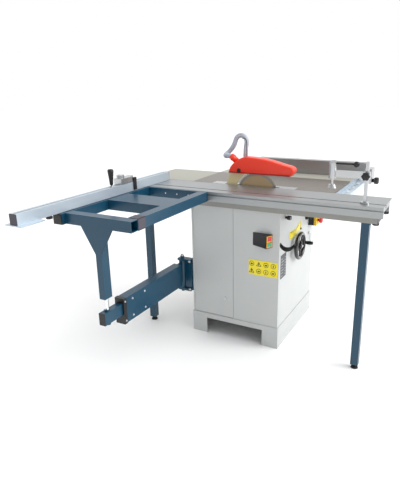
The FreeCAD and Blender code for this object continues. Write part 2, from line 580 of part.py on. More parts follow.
# --- Crosscut fence --------------------------------------------------------------------------
def crosscut_fence():
    """Hollow fence that pivots on the sliding table, with its handle and its fixings."""
    y = ("fence_y", "fence_y + fence_deep")
    z = (fence_low, fence_top)
    body = tube("x", ("-fence_left", "-fence_right"), y, z, "fence_wall")
    mouth = block(("-fence_left - 1", "-fence_right + 1"),
                  ("fence_y + fence_deep / 2 - tee_mouth / 2", "fence_y + fence_deep / 2 + tee_mouth / 2"),
                  (f"{fence_top} - fence_wall - 1", f"{fence_top} + 1"))
    tab = block(("-fence_right", "-pivot_x + 2 * pivot_radius"),
                ("fence_y + fence_deep / 2 - 2 * pivot_radius", "fence_y + fence_deep / 2 + 2 * pivot_radius"),
                (fence_low, f"{fence_low} + tab_thick"))
    hole = rod("z", f"{fence_low} - 1", f"{fence_low} + tab_thick + 1",
               ("-pivot_x", "fence_y + fence_deep / 2"), "pivot_radius + running_gap")
    plate = block(("-fence_left - panel_margin / 2", "-fence_left + plate_long"),
                  ("fence_y + fence_deep / 2 - plate_wide / 2", "fence_y + fence_deep / 2 + plate_wide / 2"),
                  (f"{fence_low} - tab_thick", fence_low))
    subpart(cut(fuse(cut(body, mouth), tab, plate), hole), "crosscut_fence")
    bolt = fuse(rod("z", "table_height", f"{fence_low} + tab_thick + side_gap",
                    ("-pivot_x", "fence_y + fence_deep / 2"), "pivot_radius"),
                rod("z", f"{fence_low} + tab_thick + side_gap", "table_height + pivot_tall",
                    ("-pivot_x", "fence_y + fence_deep / 2"), "pivot_radius + 2"))
    subpart(bolt, "fence_pivot")

    middle = ("-fence_knob", "fence_y + fence_deep / 2")
    subpart(knob("z", f"{fence_low} - knob_thick", f"{fence_low} - side_gap", middle,
                 "knob_radius * 0.75", 1.05), "fence_lock_knob")
    foot = ("-handle_x", "fence_y + fence_deep / 2")
    grip = fuse(rod("z", fence_top, f"{fence_top} + 2 * tab_thick", foot, "handle_pin"),
                rod("z", f"{fence_top} + 2 * tab_thick", f"{fence_top} + handle_tall", foot,
                    "handle_foot", "handle_top"),
                rod("z", f"{fence_top} + handle_tall", f"{fence_top} + handle_tall + tab_thick", foot,
                    "handle_top", "handle_top * 0.7"))
    subpart(grip, "push_handle")


def flip_stop():
    """Length stop that slides along the fence, with a finger that flips up."""
    y = ("fence_y - stop_gap", "fence_y + fence_deep + stop_gap")
    x = ("-stop_left", "-stop_left + stop_long")
    top = f"{fence_top} + stop_gap"
    saddle = block(x, (y[0], y[1]), (top, f"{top} + stop_tall"))
    skirt = block(x, (y[1], f"{y[1]} + stop_wall"), (f"{top} - stop_tall", f"{top} + stop_tall"))
    pivot_y, pivot_z = "fence_y + stop_wall", f"{top} + stop_tall / 2"
    finger_x = (f"{x[1]} - finger_wide", x[1])
    notch = block((f"{finger_x[0]} - side_gap", f"{x[1]} + 1"), (f"{y[0]} - 1", "fence_y + 3 * stop_wall"),
                  (f"{top} - 1", f"{top} + stop_tall + 1"))
    bolt = rod("x", f"{finger_x[0]} - 2 * stop_wall", x[1], (pivot_y, pivot_z), "finger_thick")
    lock = knob("z", f"{top} + stop_tall", f"{top} + stop_tall + knob_thick",
                (f"{x[0]} + knob_radius", "fence_y + fence_deep / 2"), "knob_radius", 1.05)
    subpart(fuse(cut(fuse(saddle, skirt), notch), bolt, lock), "stop_carrier")
    hub = rod("x", *finger_x, (pivot_y, pivot_z), "2 * finger_thick")
    blade = block(finger_x, (f"{y[0]} - finger_thick - side_gap", f"{y[0]} - side_gap"),
                  (f"{top} - finger_drop", f"{pivot_z} + 2 * finger_thick"))
    arm = block(finger_x, (f"{y[0]} - finger_thick - side_gap", pivot_y),
                (f"{pivot_z} + finger_thick", f"{pivot_z} + 2 * finger_thick"))
    bore = rod("x", f"{finger_x[0]} - 1", f"{finger_x[1]} + 1", (pivot_y, pivot_z),
               "finger_thick + running_gap")
    subpart(cut(fuse(hub, blade, arm), bore), "flip_finger")


# --- Hold-down clamp -------------------------------------------------------------------------
def clamp():
    """Eccentric hold-down: post in the T-slot, arm, lever and plunger."""
    x = (f"{tee_x} - post_wide / 2", f"{tee_x} + post_wide / 2")
    y = ("-post_y - post_deep / 2", "-post_y + post_deep / 2")
    post = block(x, y, ("table_height + side_gap", "post_top"))
    foot = rod("z", "table_height + side_gap", "table_height + side_gap + post_base", (tee_x, "-post_y"),
               "post_foot")
    neck = rod("z", "table_height - tee_depth - side_gap", "table_height + side_gap", (tee_x, "-post_y"),
               "tee_mouth / 2 - side_gap")
    nut = block((f"{tee_x} - tee_wide / 2 + side_gap", f"{tee_x} + tee_wide / 2 - side_gap"),
                ("-post_y - post_foot", "-post_y + post_foot"),
                ("table_height - tee_depth - tee_foot + side_gap", "table_height - tee_depth - side_gap"))
    subpart(fuse(post, foot, neck, nut), "clamp_post")

    z = ("arm_z - arm_deep / 2", "arm_z + arm_deep / 2")
    sleeve = block((f"{x[0]} - sleeve_wall", f"{x[1]} + sleeve_wall"),
                   (f"{y[0]} - sleeve_wall", f"{y[1]} + sleeve_wall"), z)
    sleeve_bore = block((f"{x[0]} - side_gap", f"{x[1]} + side_gap"),
                        (f"{y[0]} - side_gap", f"{y[1]} + side_gap"), (f"{z[0]} - 1", f"{z[1]} + 1"))
    beam_y = (f"{y[1]} + sleeve_wall - 1", "-clamp_y - head_radius + 1")
    arm = block((f"{tee_x} - sleeve_wall", f"{tee_x} + sleeve_wall"), beam_y, z)
    head = rod("z", "head_low", "clamp_high - head_radius", (tee_x, "-clamp_y"), "head_radius")
    crown = block((f"{tee_x} - head_radius / 2", f"{tee_x} + head_radius / 2"),
                  ("-clamp_y - head_radius / 2", "-clamp_y + head_radius / 2"),
                  ("clamp_high - head_radius", "clamp_high - head_radius / 2"))
    cave = rod("z", "head_low - 1", "head_low + 3 * head_radius", (tee_x, "-clamp_y"),
               "plunger_radius + side_gap")
    slot = block((f"{tee_x} - lever_thick / 2 - side_gap", f"{tee_x} + lever_thick / 2 + side_gap"),
                 ("-clamp_y - head_radius - 1", "-clamp_y + head_radius + 1"),
                 ("head_low + 3 * head_radius", "clamp_high"))
    pin = rod("x", f"{tee_x} - head_radius * 0.9", f"{tee_x} + head_radius * 0.9",
              ("-clamp_y", "pivot_high"), "lever_thick / 2")
    subpart(fuse(cut(fuse(cut(sleeve, sleeve_bore), arm, head, crown), cave, slot), pin), "clamp_arm")
    subpart(knob("x", f"{x[0]} - sleeve_wall - knob_thick", f"{x[0]} - sleeve_wall - side_gap",
                 ("-post_y", "arm_z"), "clamp_knob_radius", 1.05), "clamp_knob")

    side = (f"{tee_x} - lever_thick / 2", f"{tee_x} + lever_thick / 2")
    bar = block(side, ("-clamp_y - lever_long", "-clamp_y"),
                ("pivot_high - lever_thick * 0.6", "pivot_high + lever_thick * 0.6"))
    boss = rod("x", *side, ("-clamp_y", "pivot_high"), "lever_thick * 1.2")
    ball = doc.addObject("Part::Sphere", "ball")
    bind(ball, "Radius", "ball_radius")
    for axis, place in (("x", tee_x), ("y", "-clamp_y - lever_long"), ("z", "pivot_high")):
        bind(ball, f"Placement.Base.{axis}", place)
    bore = rod("x", f"{side[0]} - 1", f"{side[1]} + 1", ("-clamp_y", "pivot_high"),
               "lever_thick / 2 + running_gap")
    subpart(cut(fuse(bar, boss, ball), bore), "clamp_lever")
    stem = rod("z", "pad_low + pad_tall", "head_low + 2 * head_radius", (tee_x, "-clamp_y"),
               "plunger_radius")
    foot_pad = rod("z", "pad_low", "pad_low + pad_tall", (tee_x, "-clamp_y"), "pad_radius",
                   "pad_radius * 0.7")
    subpart(fuse(stem, foot_pad), "clamp_plunger")


# --- Rip fence -------------------------------------------------------------------------------
def rip_fence():
    """Rip fence, the head that rides on the front rail, and the star knob that locks it."""
    z = ("table_height + rip_lift", "table_height + rip_lift + rip_tall")
    y = ("-rip_front", "-rip_front + rip_length")
    bar = tube("y", ("rip_offset", rip_right), y, z, "rip_wall")
    subpart(bar, "rip_fence")
    rail_near = "-main_front - table_joint - rail_depth"
    head_x = ("rip_offset - rip_lift", "rip_offset - rip_lift + head_width")
    rail_top = "table_height - rail_drop"
    cap = block(head_x, (f"-rip_front - head_depth", "-rip_front"),
                ("table_height + rip_lift", "table_height + rip_lift + head_tall"))
    lip = block(head_x, (f"-rip_front - head_depth", f"{rail_near} - side_gap"),
                (f"{rail_top} - head_reach", "table_height + rip_lift"))
    subpart(fuse(cap, lip), "rip_fence_head")
    middle = (f"{head_x[0]} + head_width / 2", f"{rail_top} - head_reach / 2")
    stud = rod("y", "-rip_front - head_depth - 2 * knob_thick", "-rip_front - head_depth", middle,
               "handle_pin")
    star = knob("y", "-rip_front - head_depth - 2 * knob_thick", "-rip_front - head_depth - knob_thick",
                middle, "knob_radius", 1.05)
    subpart(fuse(stud, star), "rip_fence_knob")


# --- Blade unit ------------------------------------------------------------------------------
def tilt_frame():
    """Two slotted end plates, the bar between them and the guide columns; it tilts as one."""
    plates = []
    for low, high in (("-frame_front", "-frame_front + plate_thick"),
                      ("frame_back - plate_thick", "frame_back")):
        plate = pad("XZ_Plane", [
            (blade_x, "table_height - frame_side"), (blade_x, "table_height - frame_foot / 2"),
            (f"{wheel_x} - 1.4 * hub_radius", f"{wheel_z} + 0.8 * hub_radius"),
            (f"{wheel_x} - panel_gap", f"{wheel_z} - 1.2 * hub_radius"),
            (f"{blade_x} + frame_reach", f"{wheel_z} - 1.2 * hub_radius"),
            (f"{blade_x} + frame_reach", "table_height - frame_head"),
            (f"{blade_x} + frame_head / 2", "table_height - frame_head"),
        ], low, high)
        plates.append(plate)
    foot_z = ("table_height - frame_foot", "table_height - frame_foot + bar_thick")
    bar = block((f"{blade_x} + guide_right - 2 * guide_radius", f"{blade_x} + guide_right + 2 * guide_radius"),
                ("-frame_front", "frame_back"), foot_z)
    pieces = plates + [bar]
    for place in ("-frame_front + guide_inset", "frame_back - guide_inset"):
        pieces.append(rod("z", f"{foot_z[0]} + bar_thick / 2", "table_height - frame_head - 1.2 * lug_half",
                          (f"{blade_x} + guide_right", place), "guide_radius"))
    for low, high in (("-frame_front + plate_thick / 2", "-frame_front + guide_inset + lug_half"),
                      ("frame_back - guide_inset - lug_half", "frame_back - plate_thick / 2")):
        pieces.append(block((f"{blade_x} + guide_right - lug_half", f"{blade_x} + guide_right + lug_half"),
                            (low, high),
                            ("table_height - frame_head - 2 * lug_half", "table_height - frame_head - lug_half")))
    shaft = rod("y", "-frame_front - 1", f"{blade_y} + screw_back", (wheel_x, wheel_z),
                "shaft_radius + running_gap")
    screw = rod("z", "table_height - frame_foot - box_tall / 2", f"{foot_z[1]} + 1",
                (f"{blade_x} + guide_right", f"{blade_y} + screw_back"), "screw_radius + running_gap")
    box_x = (f"{wheel_x} - 1.4 * shaft_radius", f"{blade_x} + guide_right + lug_half")
    box_y = (f"{blade_y} + screw_back - box_half", f"{blade_y} + screw_back + box_half")
    pieces.append(block(box_x, box_y, ("table_height - frame_foot - box_tall", "table_height - frame_foot")))
    windows = [arc_window("-frame_front - 1", "-frame_front + plate_thick + 2 * bracket_gap"),
               arc_window("frame_back - plate_thick - 2 * bracket_gap", "frame_back + 1")]
    subpart(cut(fuse(*pieces), shaft, screw, *windows), "tilt_frame")
    subpart(rod("z", "table_height - frame_foot - box_tall / 2 + side_gap",
                "table_height - lift_high + 2 * lug_half",
                (f"{blade_x} + guide_right", f"{blade_y} + screw_back"), "screw_radius"), "lift_screw")


def arc_window(low, high):
    """Arc slot about the tilt axis, for the fixed trunnion pin."""
    centre = (blade_x, "table_height")
    ring = cut(rod("y", low, high, centre, "arc_radius + arc_half"),
               rod("y", f"{low} - 1", f"{high} + 1", centre, "arc_radius - arc_half"))
    corners = [centre]
    for step in range(4):
        angle = f"arc_start + {step} / 3 * tilt_range"
        corners.append((f"{blade_x} + arc_radius * 1.6 * sin({angle})",
                        f"table_height - arc_radius * 1.6 * cos({angle})"))
    ends = []
    for angle in ("arc_start", "(arc_start + tilt_range)"):
        ends.append(rod("y", low, high, (f"{blade_x} + arc_radius * sin({angle})",
                                         f"table_height - arc_radius * cos({angle})"), "arc_half"))
    return fuse(common(ring, pad("XZ_Plane", corners, low, high)), *ends)


def trunnions():
    """Fixed brackets under the cast table; their pins run in the tilt frame's arc slots."""
    pieces = []
    pin_at = (f"{blade_x} + arc_radius * sin(arc_start)", "table_height - arc_radius * cos(arc_start)")
    for low, high, pin in (
            ("-frame_front - bracket_gap - plate_thick", "-frame_front - bracket_gap",
             ("-frame_front - bracket_gap", "-frame_front + plate_thick + bracket_gap")),
            ("frame_back + bracket_gap", "frame_back + bracket_gap + plate_thick",
             ("frame_back - plate_thick - bracket_gap", "frame_back + bracket_gap"))):
        plate = block((f"{pin_at[0]} - 2 * pin_radius", f"{insert_right} + insert_width"), (low, high),
                      ("table_height - bracket_low", under_top))
        pieces.append(fuse(plate, rod("y", *pin, pin_at, "pin_radius")))
    subpart(group(*pieces), "trunnion_brackets")


def lift_unit():
    """Arbor housing on the lift block, with the knife clamp and the motor plate."""
    block_x = (f"{blade_x} + lift_left", f"{blade_x} + lift_right")
    block_z = ("table_height - lift_high - lift_tall", "table_height - lift_high")
    inset = "(plate_thick + bracket_gap + side_gap)"
    slab = block(block_x, (f"-frame_front + {inset}", f"frame_back - {inset}"), block_z)
    web = block(block_x, (f"{blade_y} - housing_radius", f"{blade_y} + housing_radius"),
                ("table_height - lift_high - 1", f"{arbor_z}"))
    house = rod("x", f"{blade_x} + housing_start", f"{blade_x} + housing_start + housing_length",
                (blade_y, arbor_z), "housing_radius")
    knife_arm = block((f"{blade_x} + knife_thick / 2", f"{block_x[0]} + 1"),
                      (f"{blade_y} + blade_size / 2 + knife_gap", f"{blade_y} + blade_size / 2 + 6 * knife_gap"),
                      ("table_height - lift_high - lift_tall / 2", "table_height - lift_high"))
    mount_y = (f"{blade_y} - mount_wide / 2", f"{blade_y} + mount_wide / 2")
    face = block((f"{blade_x} + mount_right", "-blade_left + motor_right"), mount_y,
                 (f"{motor_z} - motor_radius", "table_height - lift_high - lift_tall / 2"))
    arms = [block((f"{block_x[1]} - 1", f"{blade_x} + mount_right + 1"), span,
                  (f"{block_z[0]}", "table_height - lift_high - lift_tall / 2"))
            for span in ((mount_y[0], f"{mount_y[0]} + 2 * plate_thick - 2"),
                         (f"{mount_y[1]} - 2 * plate_thick + 2", mount_y[1]))]
    bores = [rod("x", f"{blade_x} + housing_start - 1", f"{blade_x} + housing_start + housing_length + 1",
                 (blade_y, arbor_z), "arbor_radius + running_gap"),
             rod("x", f"{blade_x} + mount_right - 1", "-blade_left + motor_right + 1", (blade_y, motor_z),
                 "arbor_radius"),
             rod("z", f"{block_z[0]} - 1", f"{block_z[1]} + 1",
                 (f"{blade_x} + guide_right", f"{blade_y} + screw_back"), "screw_radius + running_gap")]
    for place in ("-frame_front + guide_inset", "frame_back - guide_inset"):
        bores.append(rod("z", f"{block_z[0]} - 1", f"{block_z[1]} + 1",
                         (f"{blade_x} + guide_right", place), "guide_radius + running_gap"))
    subpart(cut(fuse(slab, web, house, knife_arm, face, *arms), *bores), "lift_block")

    can = rod("x", "-blade_left + motor_right", "-blade_left + motor_right + motor_length * 0.86",
              (blade_y, motor_z), "motor_radius")
    cowl = rod("x", "-blade_left + motor_right + motor_length * 0.86", "-blade_left + motor_right + motor_length",
               (blade_y, motor_z), "motor_radius", "motor_radius * 0.9")
    well = rod("x", "-blade_left + motor_right - 1", "-blade_left + motor_right + plate_thick",
               (blade_y, motor_z), "arbor_radius")
    box = block(("-blade_left + motor_right + motor_length * 0.3", "-blade_left + motor_right + motor_length * 0.7"),
                (f"{blade_y} - motor_radius - plate_thick", f"{blade_y} - motor_radius * 0.6"),
                (f"{motor_z} - motor_radius * 0.4", f"{motor_z} + motor_radius * 0.4"))
    subpart(cut(fuse(can, cowl, box), well), "motor")


def spindle():
    """Arbor with flanges, nut and pulley, the saw blade, and the motor's pulley with its belt."""
    centre = (blade_y, arbor_z)
    flat = "blade_body / 2"
    shaft = rod("x", f"{blade_x} - {flat} - flange_thick - nut_length",
                f"{blade_x} + pulley_right + pulley_wide", centre, "arbor_radius")
    inner = rod("x", f"{blade_x} + {flat}", f"{blade_x} + {flat} + flange_thick", centre, "flange_radius")
    outer = rod("x", f"{blade_x} - {flat} - flange_thick", f"{blade_x} - {flat}", centre, "flange_radius")
    pulley = rod("x", f"{blade_x} + pulley_right", f"{blade_x} + pulley_right + pulley_wide", centre,
                 "arbor_pulley")
    subpart(fuse(shaft, inner, outer, pulley), "arbor")

    drive = fuse(rod("x", f"{blade_x} + pulley_right", f"{blade_x} + pulley_right + pulley_wide",
                     (blade_y, motor_z), "motor_pulley_size"),
                 rod("x", f"{blade_x} + pulley_right + pulley_wide", "-blade_left + motor_right + plate_thick / 2",
                     (blade_y, motor_z), "arbor_radius - 2 * side_gap"))
    subpart(drive, "motor_pulley")

    belt_x = (f"{blade_x} + pulley_right + 2", f"{blade_x} + pulley_right + pulley_wide - 2")
    wide = (f"{belt_x[0]} - 1", f"{belt_x[1]} + 1")
    pieces = []
    for span, grow in ((belt_x, "belt_thick"), (wide, "side_gap")):
        pieces.append(belt_solid(span, grow))
    subpart(cut(*pieces), "drive_belt")


def belt_solid(span, grow):
    """A solid round both pulleys at a given height above their rims."""
    small, large = f"arbor_pulley + {grow}", f"motor_pulley_size + {grow}"
    lean = "asin((motor_pulley_size - arbor_pulley) / motor_drop)"
    upper = rod("x", *span, (blade_y, arbor_z), small)
    lower = rod("x", *span, (blade_y, motor_z), large)
    side = pad("YZ_Plane", [
        (f"{blade_y} - ({small}) * cos({lean})", f"{arbor_z} + ({small}) * sin({lean})"),
        (f"{blade_y} - ({large}) * cos({lean})", f"{motor_z} + ({large}) * sin({lean})"),
        (f"{blade_y} + ({large}) * cos({lean})", f"{motor_z} + ({large}) * sin({lean})"),
        (f"{blade_y} + ({small}) * cos({lean})", f"{arbor_z} + ({small}) * sin({lean})"),
    ], *span)
    return fuse(upper, lower, side)


def blade_and_knife():
    """The saw blade on its arbor, and the riving knife behind it."""
    half = "blade_body / 2"
    disc = rod("x", f"{blade_x} - {half}", f"{blade_x} + {half}", (blade_y, arbor_z), "blade_size / 2")
    bore = rod("x", f"{blade_x} - {half} - 1", f"{blade_x} + {half} + 1", (blade_y, arbor_z), "arbor_radius")
    subpart(cut(disc, bore), "saw_blade")

    near = f"{blade_y} + blade_size / 2 + knife_gap"
    far = f"{blade_y} + blade_size / 2 + 6 * knife_gap"
    back = f"{blade_y} + knife_back"
    tip = "table_height + knife_top"
    foot = "table_height - lift_high - lift_tall / 2"
    x = (f"{blade_x} - knife_thick / 2", f"{blade_x} + knife_thick / 2")
    sheet_metal = pad("YZ_Plane", [
        (near, foot), (far, foot), (back, "table_height - lift_tall / 2"), (back, "table_height"),
        (f"{back} - 0.2 * knife_top", "table_height + 0.55 * knife_top"),
        (f"{back} - 0.44 * knife_top", "table_height + 0.77 * knife_top"),
        (f"{back} - 0.56 * knife_top", tip), (f"{back} - 1.16 * knife_top", tip),
        (f"{back} - 1.16 * knife_top", arbor_z),
    ], *x)
    sweep = rod("x", f"{x[0]} - 1", f"{x[1]} + 1", (blade_y, arbor_z), "blade_size / 2 + knife_gap")
    hole = rod("x", f"{x[0]} - 1", f"{x[1]} + 1", ("guard_pivot", "table_height + guard_pivot_up"),
               "guard_bolt + running_gap")
    subpart(cut(sheet_metal, sweep, hole), "riving_knife")


# --- Guard and its suction hose --------------------------------------------------------------
# Outline of the guard: shares of its length from the rear, and of its height from the bottom.
GUARD_LINE = (
    (0, 0), (0, 0.05), (0.03, 0.37), (0.09, 0.62), (0.17, 0.85), (0.25, 1), (0.51, 0.93), (0.66, 0.83),
    (0.86, 0.62), (0.96, 0.54), (1, 0.38), (0.99, 0.2), (0.95, 0),
)
# Middle line of the hose, from the guard's outlet over the hook to the free end.
HOSE_ROUTE = (
    (-66, 102, 993), (-66, 119, 1007), (-68, 141, 1008), (-57, 160, 1005), (-37, 170, 1007),
    (-16, 167, 1016), (-5, 155, 1031), (-6, 140, 1048), (-12, 127, 1066), (-13, 119, 1088),
    (-14, 110, 1108), (-14, 90, 1119), (-14, 67, 1116), (-15, 51, 1100), (-15, 48, 1078),
    (-16, 53, 1055), (-18, 53, 1032), (-18, 54, 1009), (-18, 54, 986),
)
# Middle line of the wire that holds the hose up.
WIRE_ROUTE = (
    (-60, 28, 1000), (-60, 28, 1055), (-60, 30, 1098), (-60, 44, 1108), (-52, 60, 1103.5),
    (-14, 64, 1103.5),
)


def guard():
    """Hollow guard open at the bottom, slotted for the knife, on its own pivot bolt."""
    low, long, tall = "(table_height + guard_low)", "guard_long", "guard_tall"
    outer = [(f"guard_back - {back} * {long}", f"{low} + {up} * {tall}") for back, up in GUARD_LINE]
    short = f"({long} - 2 * guard_wall)"
    inner = [(f"guard_back - guard_wall - {back} * {short}",
              f"{low} + {up} * ({tall} - guard_wall)" if up else f"{low} - 1") for back, up in GUARD_LINE]
    x = (f"{blade_x} - guard_width / 2", f"{blade_x} + guard_width / 2")
    shell = cut(pad("YZ_Plane", outer, *x),
                pad("YZ_Plane", inner, f"{x[0]} + guard_wall", f"{x[1]} - guard_wall"))
    slot = block((f"{blade_x} - guard_wall", f"{blade_x} + guard_wall"),
                 ("guard_back - 8 * guard_wall", "guard_back + 1"), (f"{low} - 1", f"{low} + 8 * guard_wall"))
    pivot = ("guard_pivot", "table_height + guard_pivot_up")
    bolt = rod("x", f"{x[0]} - guard_wall", f"{x[1]} + guard_wall", pivot, "guard_bolt")
    outlet = feature(tube_solid([HOSE_ROUTE[0], lead(HOSE_ROUTE, -size("spigot_long"))],
                                size("spigot_radius")), "outlet")
    cavity = feature(tube_solid([lead(HOSE_ROUTE, 1), lead(HOSE_ROUTE, -size("spigot_long") - 9)],
                                size("spigot_radius") - size("guard_wall")), "cavity")
    space = pad("YZ_Plane", inner, f"{x[0]} + guard_wall", f"{x[1]} - guard_wall")
    subpart(fuse(cut(shell, slot, cavity), bolt, cut(outlet, cavity, space)), "blade_guard")


def lead(route, distance):
    """The point a distance along a route's first run."""
    start, second = (FreeCAD.Vector(*point) for point in route[:2])
    return tuple(start + (second - start).normalize() * distance)


def rounded(route):
    """A wire of straight runs joined by tangent arcs, and the radius of each arc."""
    points = [FreeCAD.Vector(*point) for point in route]
    edges, radii = [], []
    start = points[0]
    for before, corner, after in zip(points, points[1:], points[2:]):
        back, forward = (before - corner), (after - corner)
        turn = math.pi - back.getAngle(forward)
        inset = 0.45 * min(back.Length, forward.Length)
        radii.append(inset / math.tan(turn / 2))
        back.normalize()
        forward.normalize()
        first, last = corner + back * inset, corner + forward * inset
        middle_way = (back + forward).normalize()
        middle = corner + middle_way * (inset * math.tan(math.pi / 2 - turn / 2)
                                        * (1 / math.cos(turn / 2) - 1))
        edges.append(Part.LineSegment(start, first).toShape())
        edges.append(Part.Arc(first, middle, last).toShape())
        start = last
    edges.append(Part.LineSegment(start, points[-1]).toShape())
    return Part.Wire(edges), radii


def tube_solid(route, radius):
    """A round bar of a radius along a route."""
    wire = rounded(route)[0]
    start, second = (FreeCAD.Vector(*point) for point in route[:2])
    circle = Part.Wire(Part.makeCircle(radius, start, second - start))
    return wire.makePipeShell([circle], True, False)


def feature(shape, label):
    """A Part::Feature for a shape that neither Part's objects nor a sketch can give."""
    piece = doc.addObject("Part::Feature", label)
    piece.Shape = shape
    return piece


def suction():
    """The hose, its end cuff and the wire hanger, all carried by the guard."""
    hose = size("hose_size") / 2
    solid = tube_solid(HOSE_ROUTE, hose)
    wire, radii = rounded(HOSE_ROUTE)
    print("hose radii", [round(radius, 1) for radius in radii], "length", round(wire.Length, 1))
    print("hose volume ratio", round(solid.Volume / (math.pi * hose ** 2 * wire.Length), 4))
    subpart(feature(solid, "hose"), "suction_hose")
    end = [HOSE_ROUTE[-1], lead(HOSE_ROUTE[::-1], -size("cuff_long"))]
    subpart(feature(tube_solid(end, size("cuff_radius")), "cuff"), "hose_cuff")
    subpart(feature(tube_solid(WIRE_ROUTE, size("wire_radius")), "hanger"), "hose_hanger")


# --- Handwheel and controls ------------------------------------------------------------------
def handwheel():
    """Rim, four spokes and hub on the shaft that drives the lift screw, with a turning grip."""
    mid = f"{cab_front} - wheel_stand"
    centre = (wheel_x, wheel_z)
    rim = doc.addObject("Part::Torus", "rim")
    rim.Placement = FreeCAD.Placement(FreeCAD.Vector(), TURNS["y"])
    bind(rim, "Radius1", "wheel_radius")
    bind(rim, "Radius2", "wheel_rim")
    for axis, place in zip("xyz", (wheel_x, mid, wheel_z)):
        bind(rim, f"Placement.Base.{axis}", place)
    hub = rod("y", f"{mid} - hub_long / 2", f"{mid} + hub_long / 2", centre, "hub_radius")
    across = block((f"{wheel_x} - wheel_radius", f"{wheel_x} + wheel_radius"),
                   (f"{mid} - wheel_rim / 2", f"{mid} + wheel_rim / 2"),
                   (f"{wheel_z} - spoke_wide / 2", f"{wheel_z} + spoke_wide / 2"))
    upright = block((f"{wheel_x} - spoke_wide / 2", f"{wheel_x} + spoke_wide / 2"),
                    (f"{mid} - wheel_rim / 2", f"{mid} + wheel_rim / 2"),
                    (f"{wheel_z} - wheel_radius", f"{wheel_z} + wheel_radius"))
    shaft = rod("y", mid, f"{blade_y} + screw_back - screw_radius", centre, "shaft_radius")
    grip_at = (f"{wheel_x} + wheel_radius", wheel_z)
    pin = rod("y", f"{mid} - wheel_rim - grip_length - side_gap", mid, grip_at, "handle_pin")
    subpart(fuse(rim, hub, across, upright, shaft, pin), "handwheel")
    grip = cut(rod("y", f"{mid} - wheel_rim - grip_length", f"{mid} - wheel_rim - side_gap", grip_at,
                   "grip_radius * 1.2", "grip_radius * 0.9"),
               rod("y", f"{mid} - wheel_rim - grip_length - 1", mid, grip_at, "handle_pin + running_gap"))
    subpart(grip, "handwheel_grip")


def switches():
    """Wedge-shaped switch housing with its two buttons, and the emergency stop on the front."""
    side = f"{cab_left} + plinth_step"
    z = ("switch_low", "switch_low + switch_tall")
    wedge = pad("XY_Plane", [
        (side, "-switch_front + switch_long"), (side, "-switch_front"),
        (f"{side} - switch_out", "-switch_front + switch_nose"),
    ], *z)
    span = "sqrt(switch_out ^ 2 + switch_nose ^ 2)"
    out = (f"(-switch_nose / {span})", f"(-switch_out / {span})")
    face = (f"({side} - switch_out / 2)", "(-switch_front + switch_nose / 2)")
    holes, buttons = [], []
    for label, height in (("stop_button", "switch_low + 0.72 * switch_tall"),
                          ("start_button", "switch_low + 0.28 * switch_tall")):
        buttons.append((push(face, out, height, "-2 * button_out", "button_out", "button_radius"), label))
        holes.append(push(face, out, height, "-2 * button_out - button_travel - button_gap", "2 * button_out",
                          "button_radius + button_gap"))
    subpart(cut(wedge, *holes), "switch_housing")
    for piece, label in buttons:
        subpart(piece, label)

    x = ("stop_box_left", "stop_box_left + stop_box_wide")
    z = ("stop_box_low", "stop_box_low + stop_box_tall")
    front = f"{cab_front} + plinth_step"
    middle = ("stop_box_left + stop_box_wide / 2", "stop_box_low + stop_box_tall / 2")
    face_y = f"{front} - stop_box_deep - stop_cover"
    box = block(x, (f"{front} - stop_box_deep", front), z)
    cover = block((f"{x[0]} - button_gap", f"{x[1]} + button_gap"), (face_y, f"{front} - stop_box_deep"),
                  (f"{z[0]} - button_gap", f"{z[1]} + button_gap"))
    stem_well = rod("y", f"{face_y} - 1", f"{face_y} + stop_box_deep", middle, "mushroom_stem + button_gap")
    subpart(cut(fuse(box, cover), stem_well), "emergency_housing")
    stem = rod("y", f"{face_y} - mushroom_out / 2", f"{face_y} + mushroom_out", middle, "mushroom_stem")
    head = rod("y", f"{face_y} - mushroom_out", f"{face_y} - mushroom_out / 2", middle,
               "mushroom_radius * 0.85", "mushroom_radius")
    subpart(fuse(stem, head), "emergency_button")


def push(face, out, height, low, high, radius):
    """A cylinder along a level direction, from low to high along it from a point on a face."""
    piece = doc.addObject("Part::Cylinder", "push")
    bind(piece, "Radius", radius)
    bind(piece, "Height", f"({high}) - ({low})")
    along = FreeCAD.Vector(-size("switch_nose"), -size("switch_out"), 0)
    piece.Placement.Rotation = FreeCAD.Rotation(FreeCAD.Vector(0, 0, 1), along)
    bind(piece, "Placement.Base.x", f"{face[0]} + {out[0]} * ({low})")
    bind(piece, "Placement.Base.y", f"{face[1]} + {out[1]} * ({low})")
    bind(piece, "Placement.Base.z", height)
    return piece


def tilt_lock():
    """Clamping handle of the tilt, on a stem through the front sheet."""
    front = f"{cab_front} + plinth_step"
    centre = ("-lock_x", "lock_z")
    stem = rod("y", f"{front} - lock_stand", f"{front} + sheet_wall + lock_deep", centre, "lock_stem")
    boss = rod("y", f"{front} - lock_stand - lock_deep", f"{front} - lock_stand", centre, "lock_stem * 1.6")
    bar = block(("-lock_x - lock_radius", "-lock_x + lock_stem"),
                (f"{front} - lock_stand - lock_deep", f"{front} - lock_stand - lock_deep / 2"),
                ("lock_z - lock_stem", "lock_z + lock_stem"))
    subpart(fuse(stem, boss, bar), "tilt_lock")


MAKERS = (
    cabinet, main_table, extension_tables, fence_rail, beam, sliding_table, legs, outrigger, swing_arm,
    crosscut_fence, flip_stop, clamp, rip_fence, tilt_frame, trunnions, lift_unit, spindle, blade_and_knife,
    guard, suction, handwheel, switches, tilt_lock,
)
for make in MAKERS:
    make()
doc.recompute()

faults = []
for item in doc.Objects:
    if any(state in ("Invalid", "Error") for state in item.State):
        faults.append(f"{item.Name} {item.Label} {item.State}")
for piece in subparts:
    if piece.Shape.isNull() or not piece.Shape.isValid() or not piece.Shape.Solids:
        faults.append(f"{piece.Label} has no valid solid")
if faults:
    raise SystemExit("\n".join(faults))

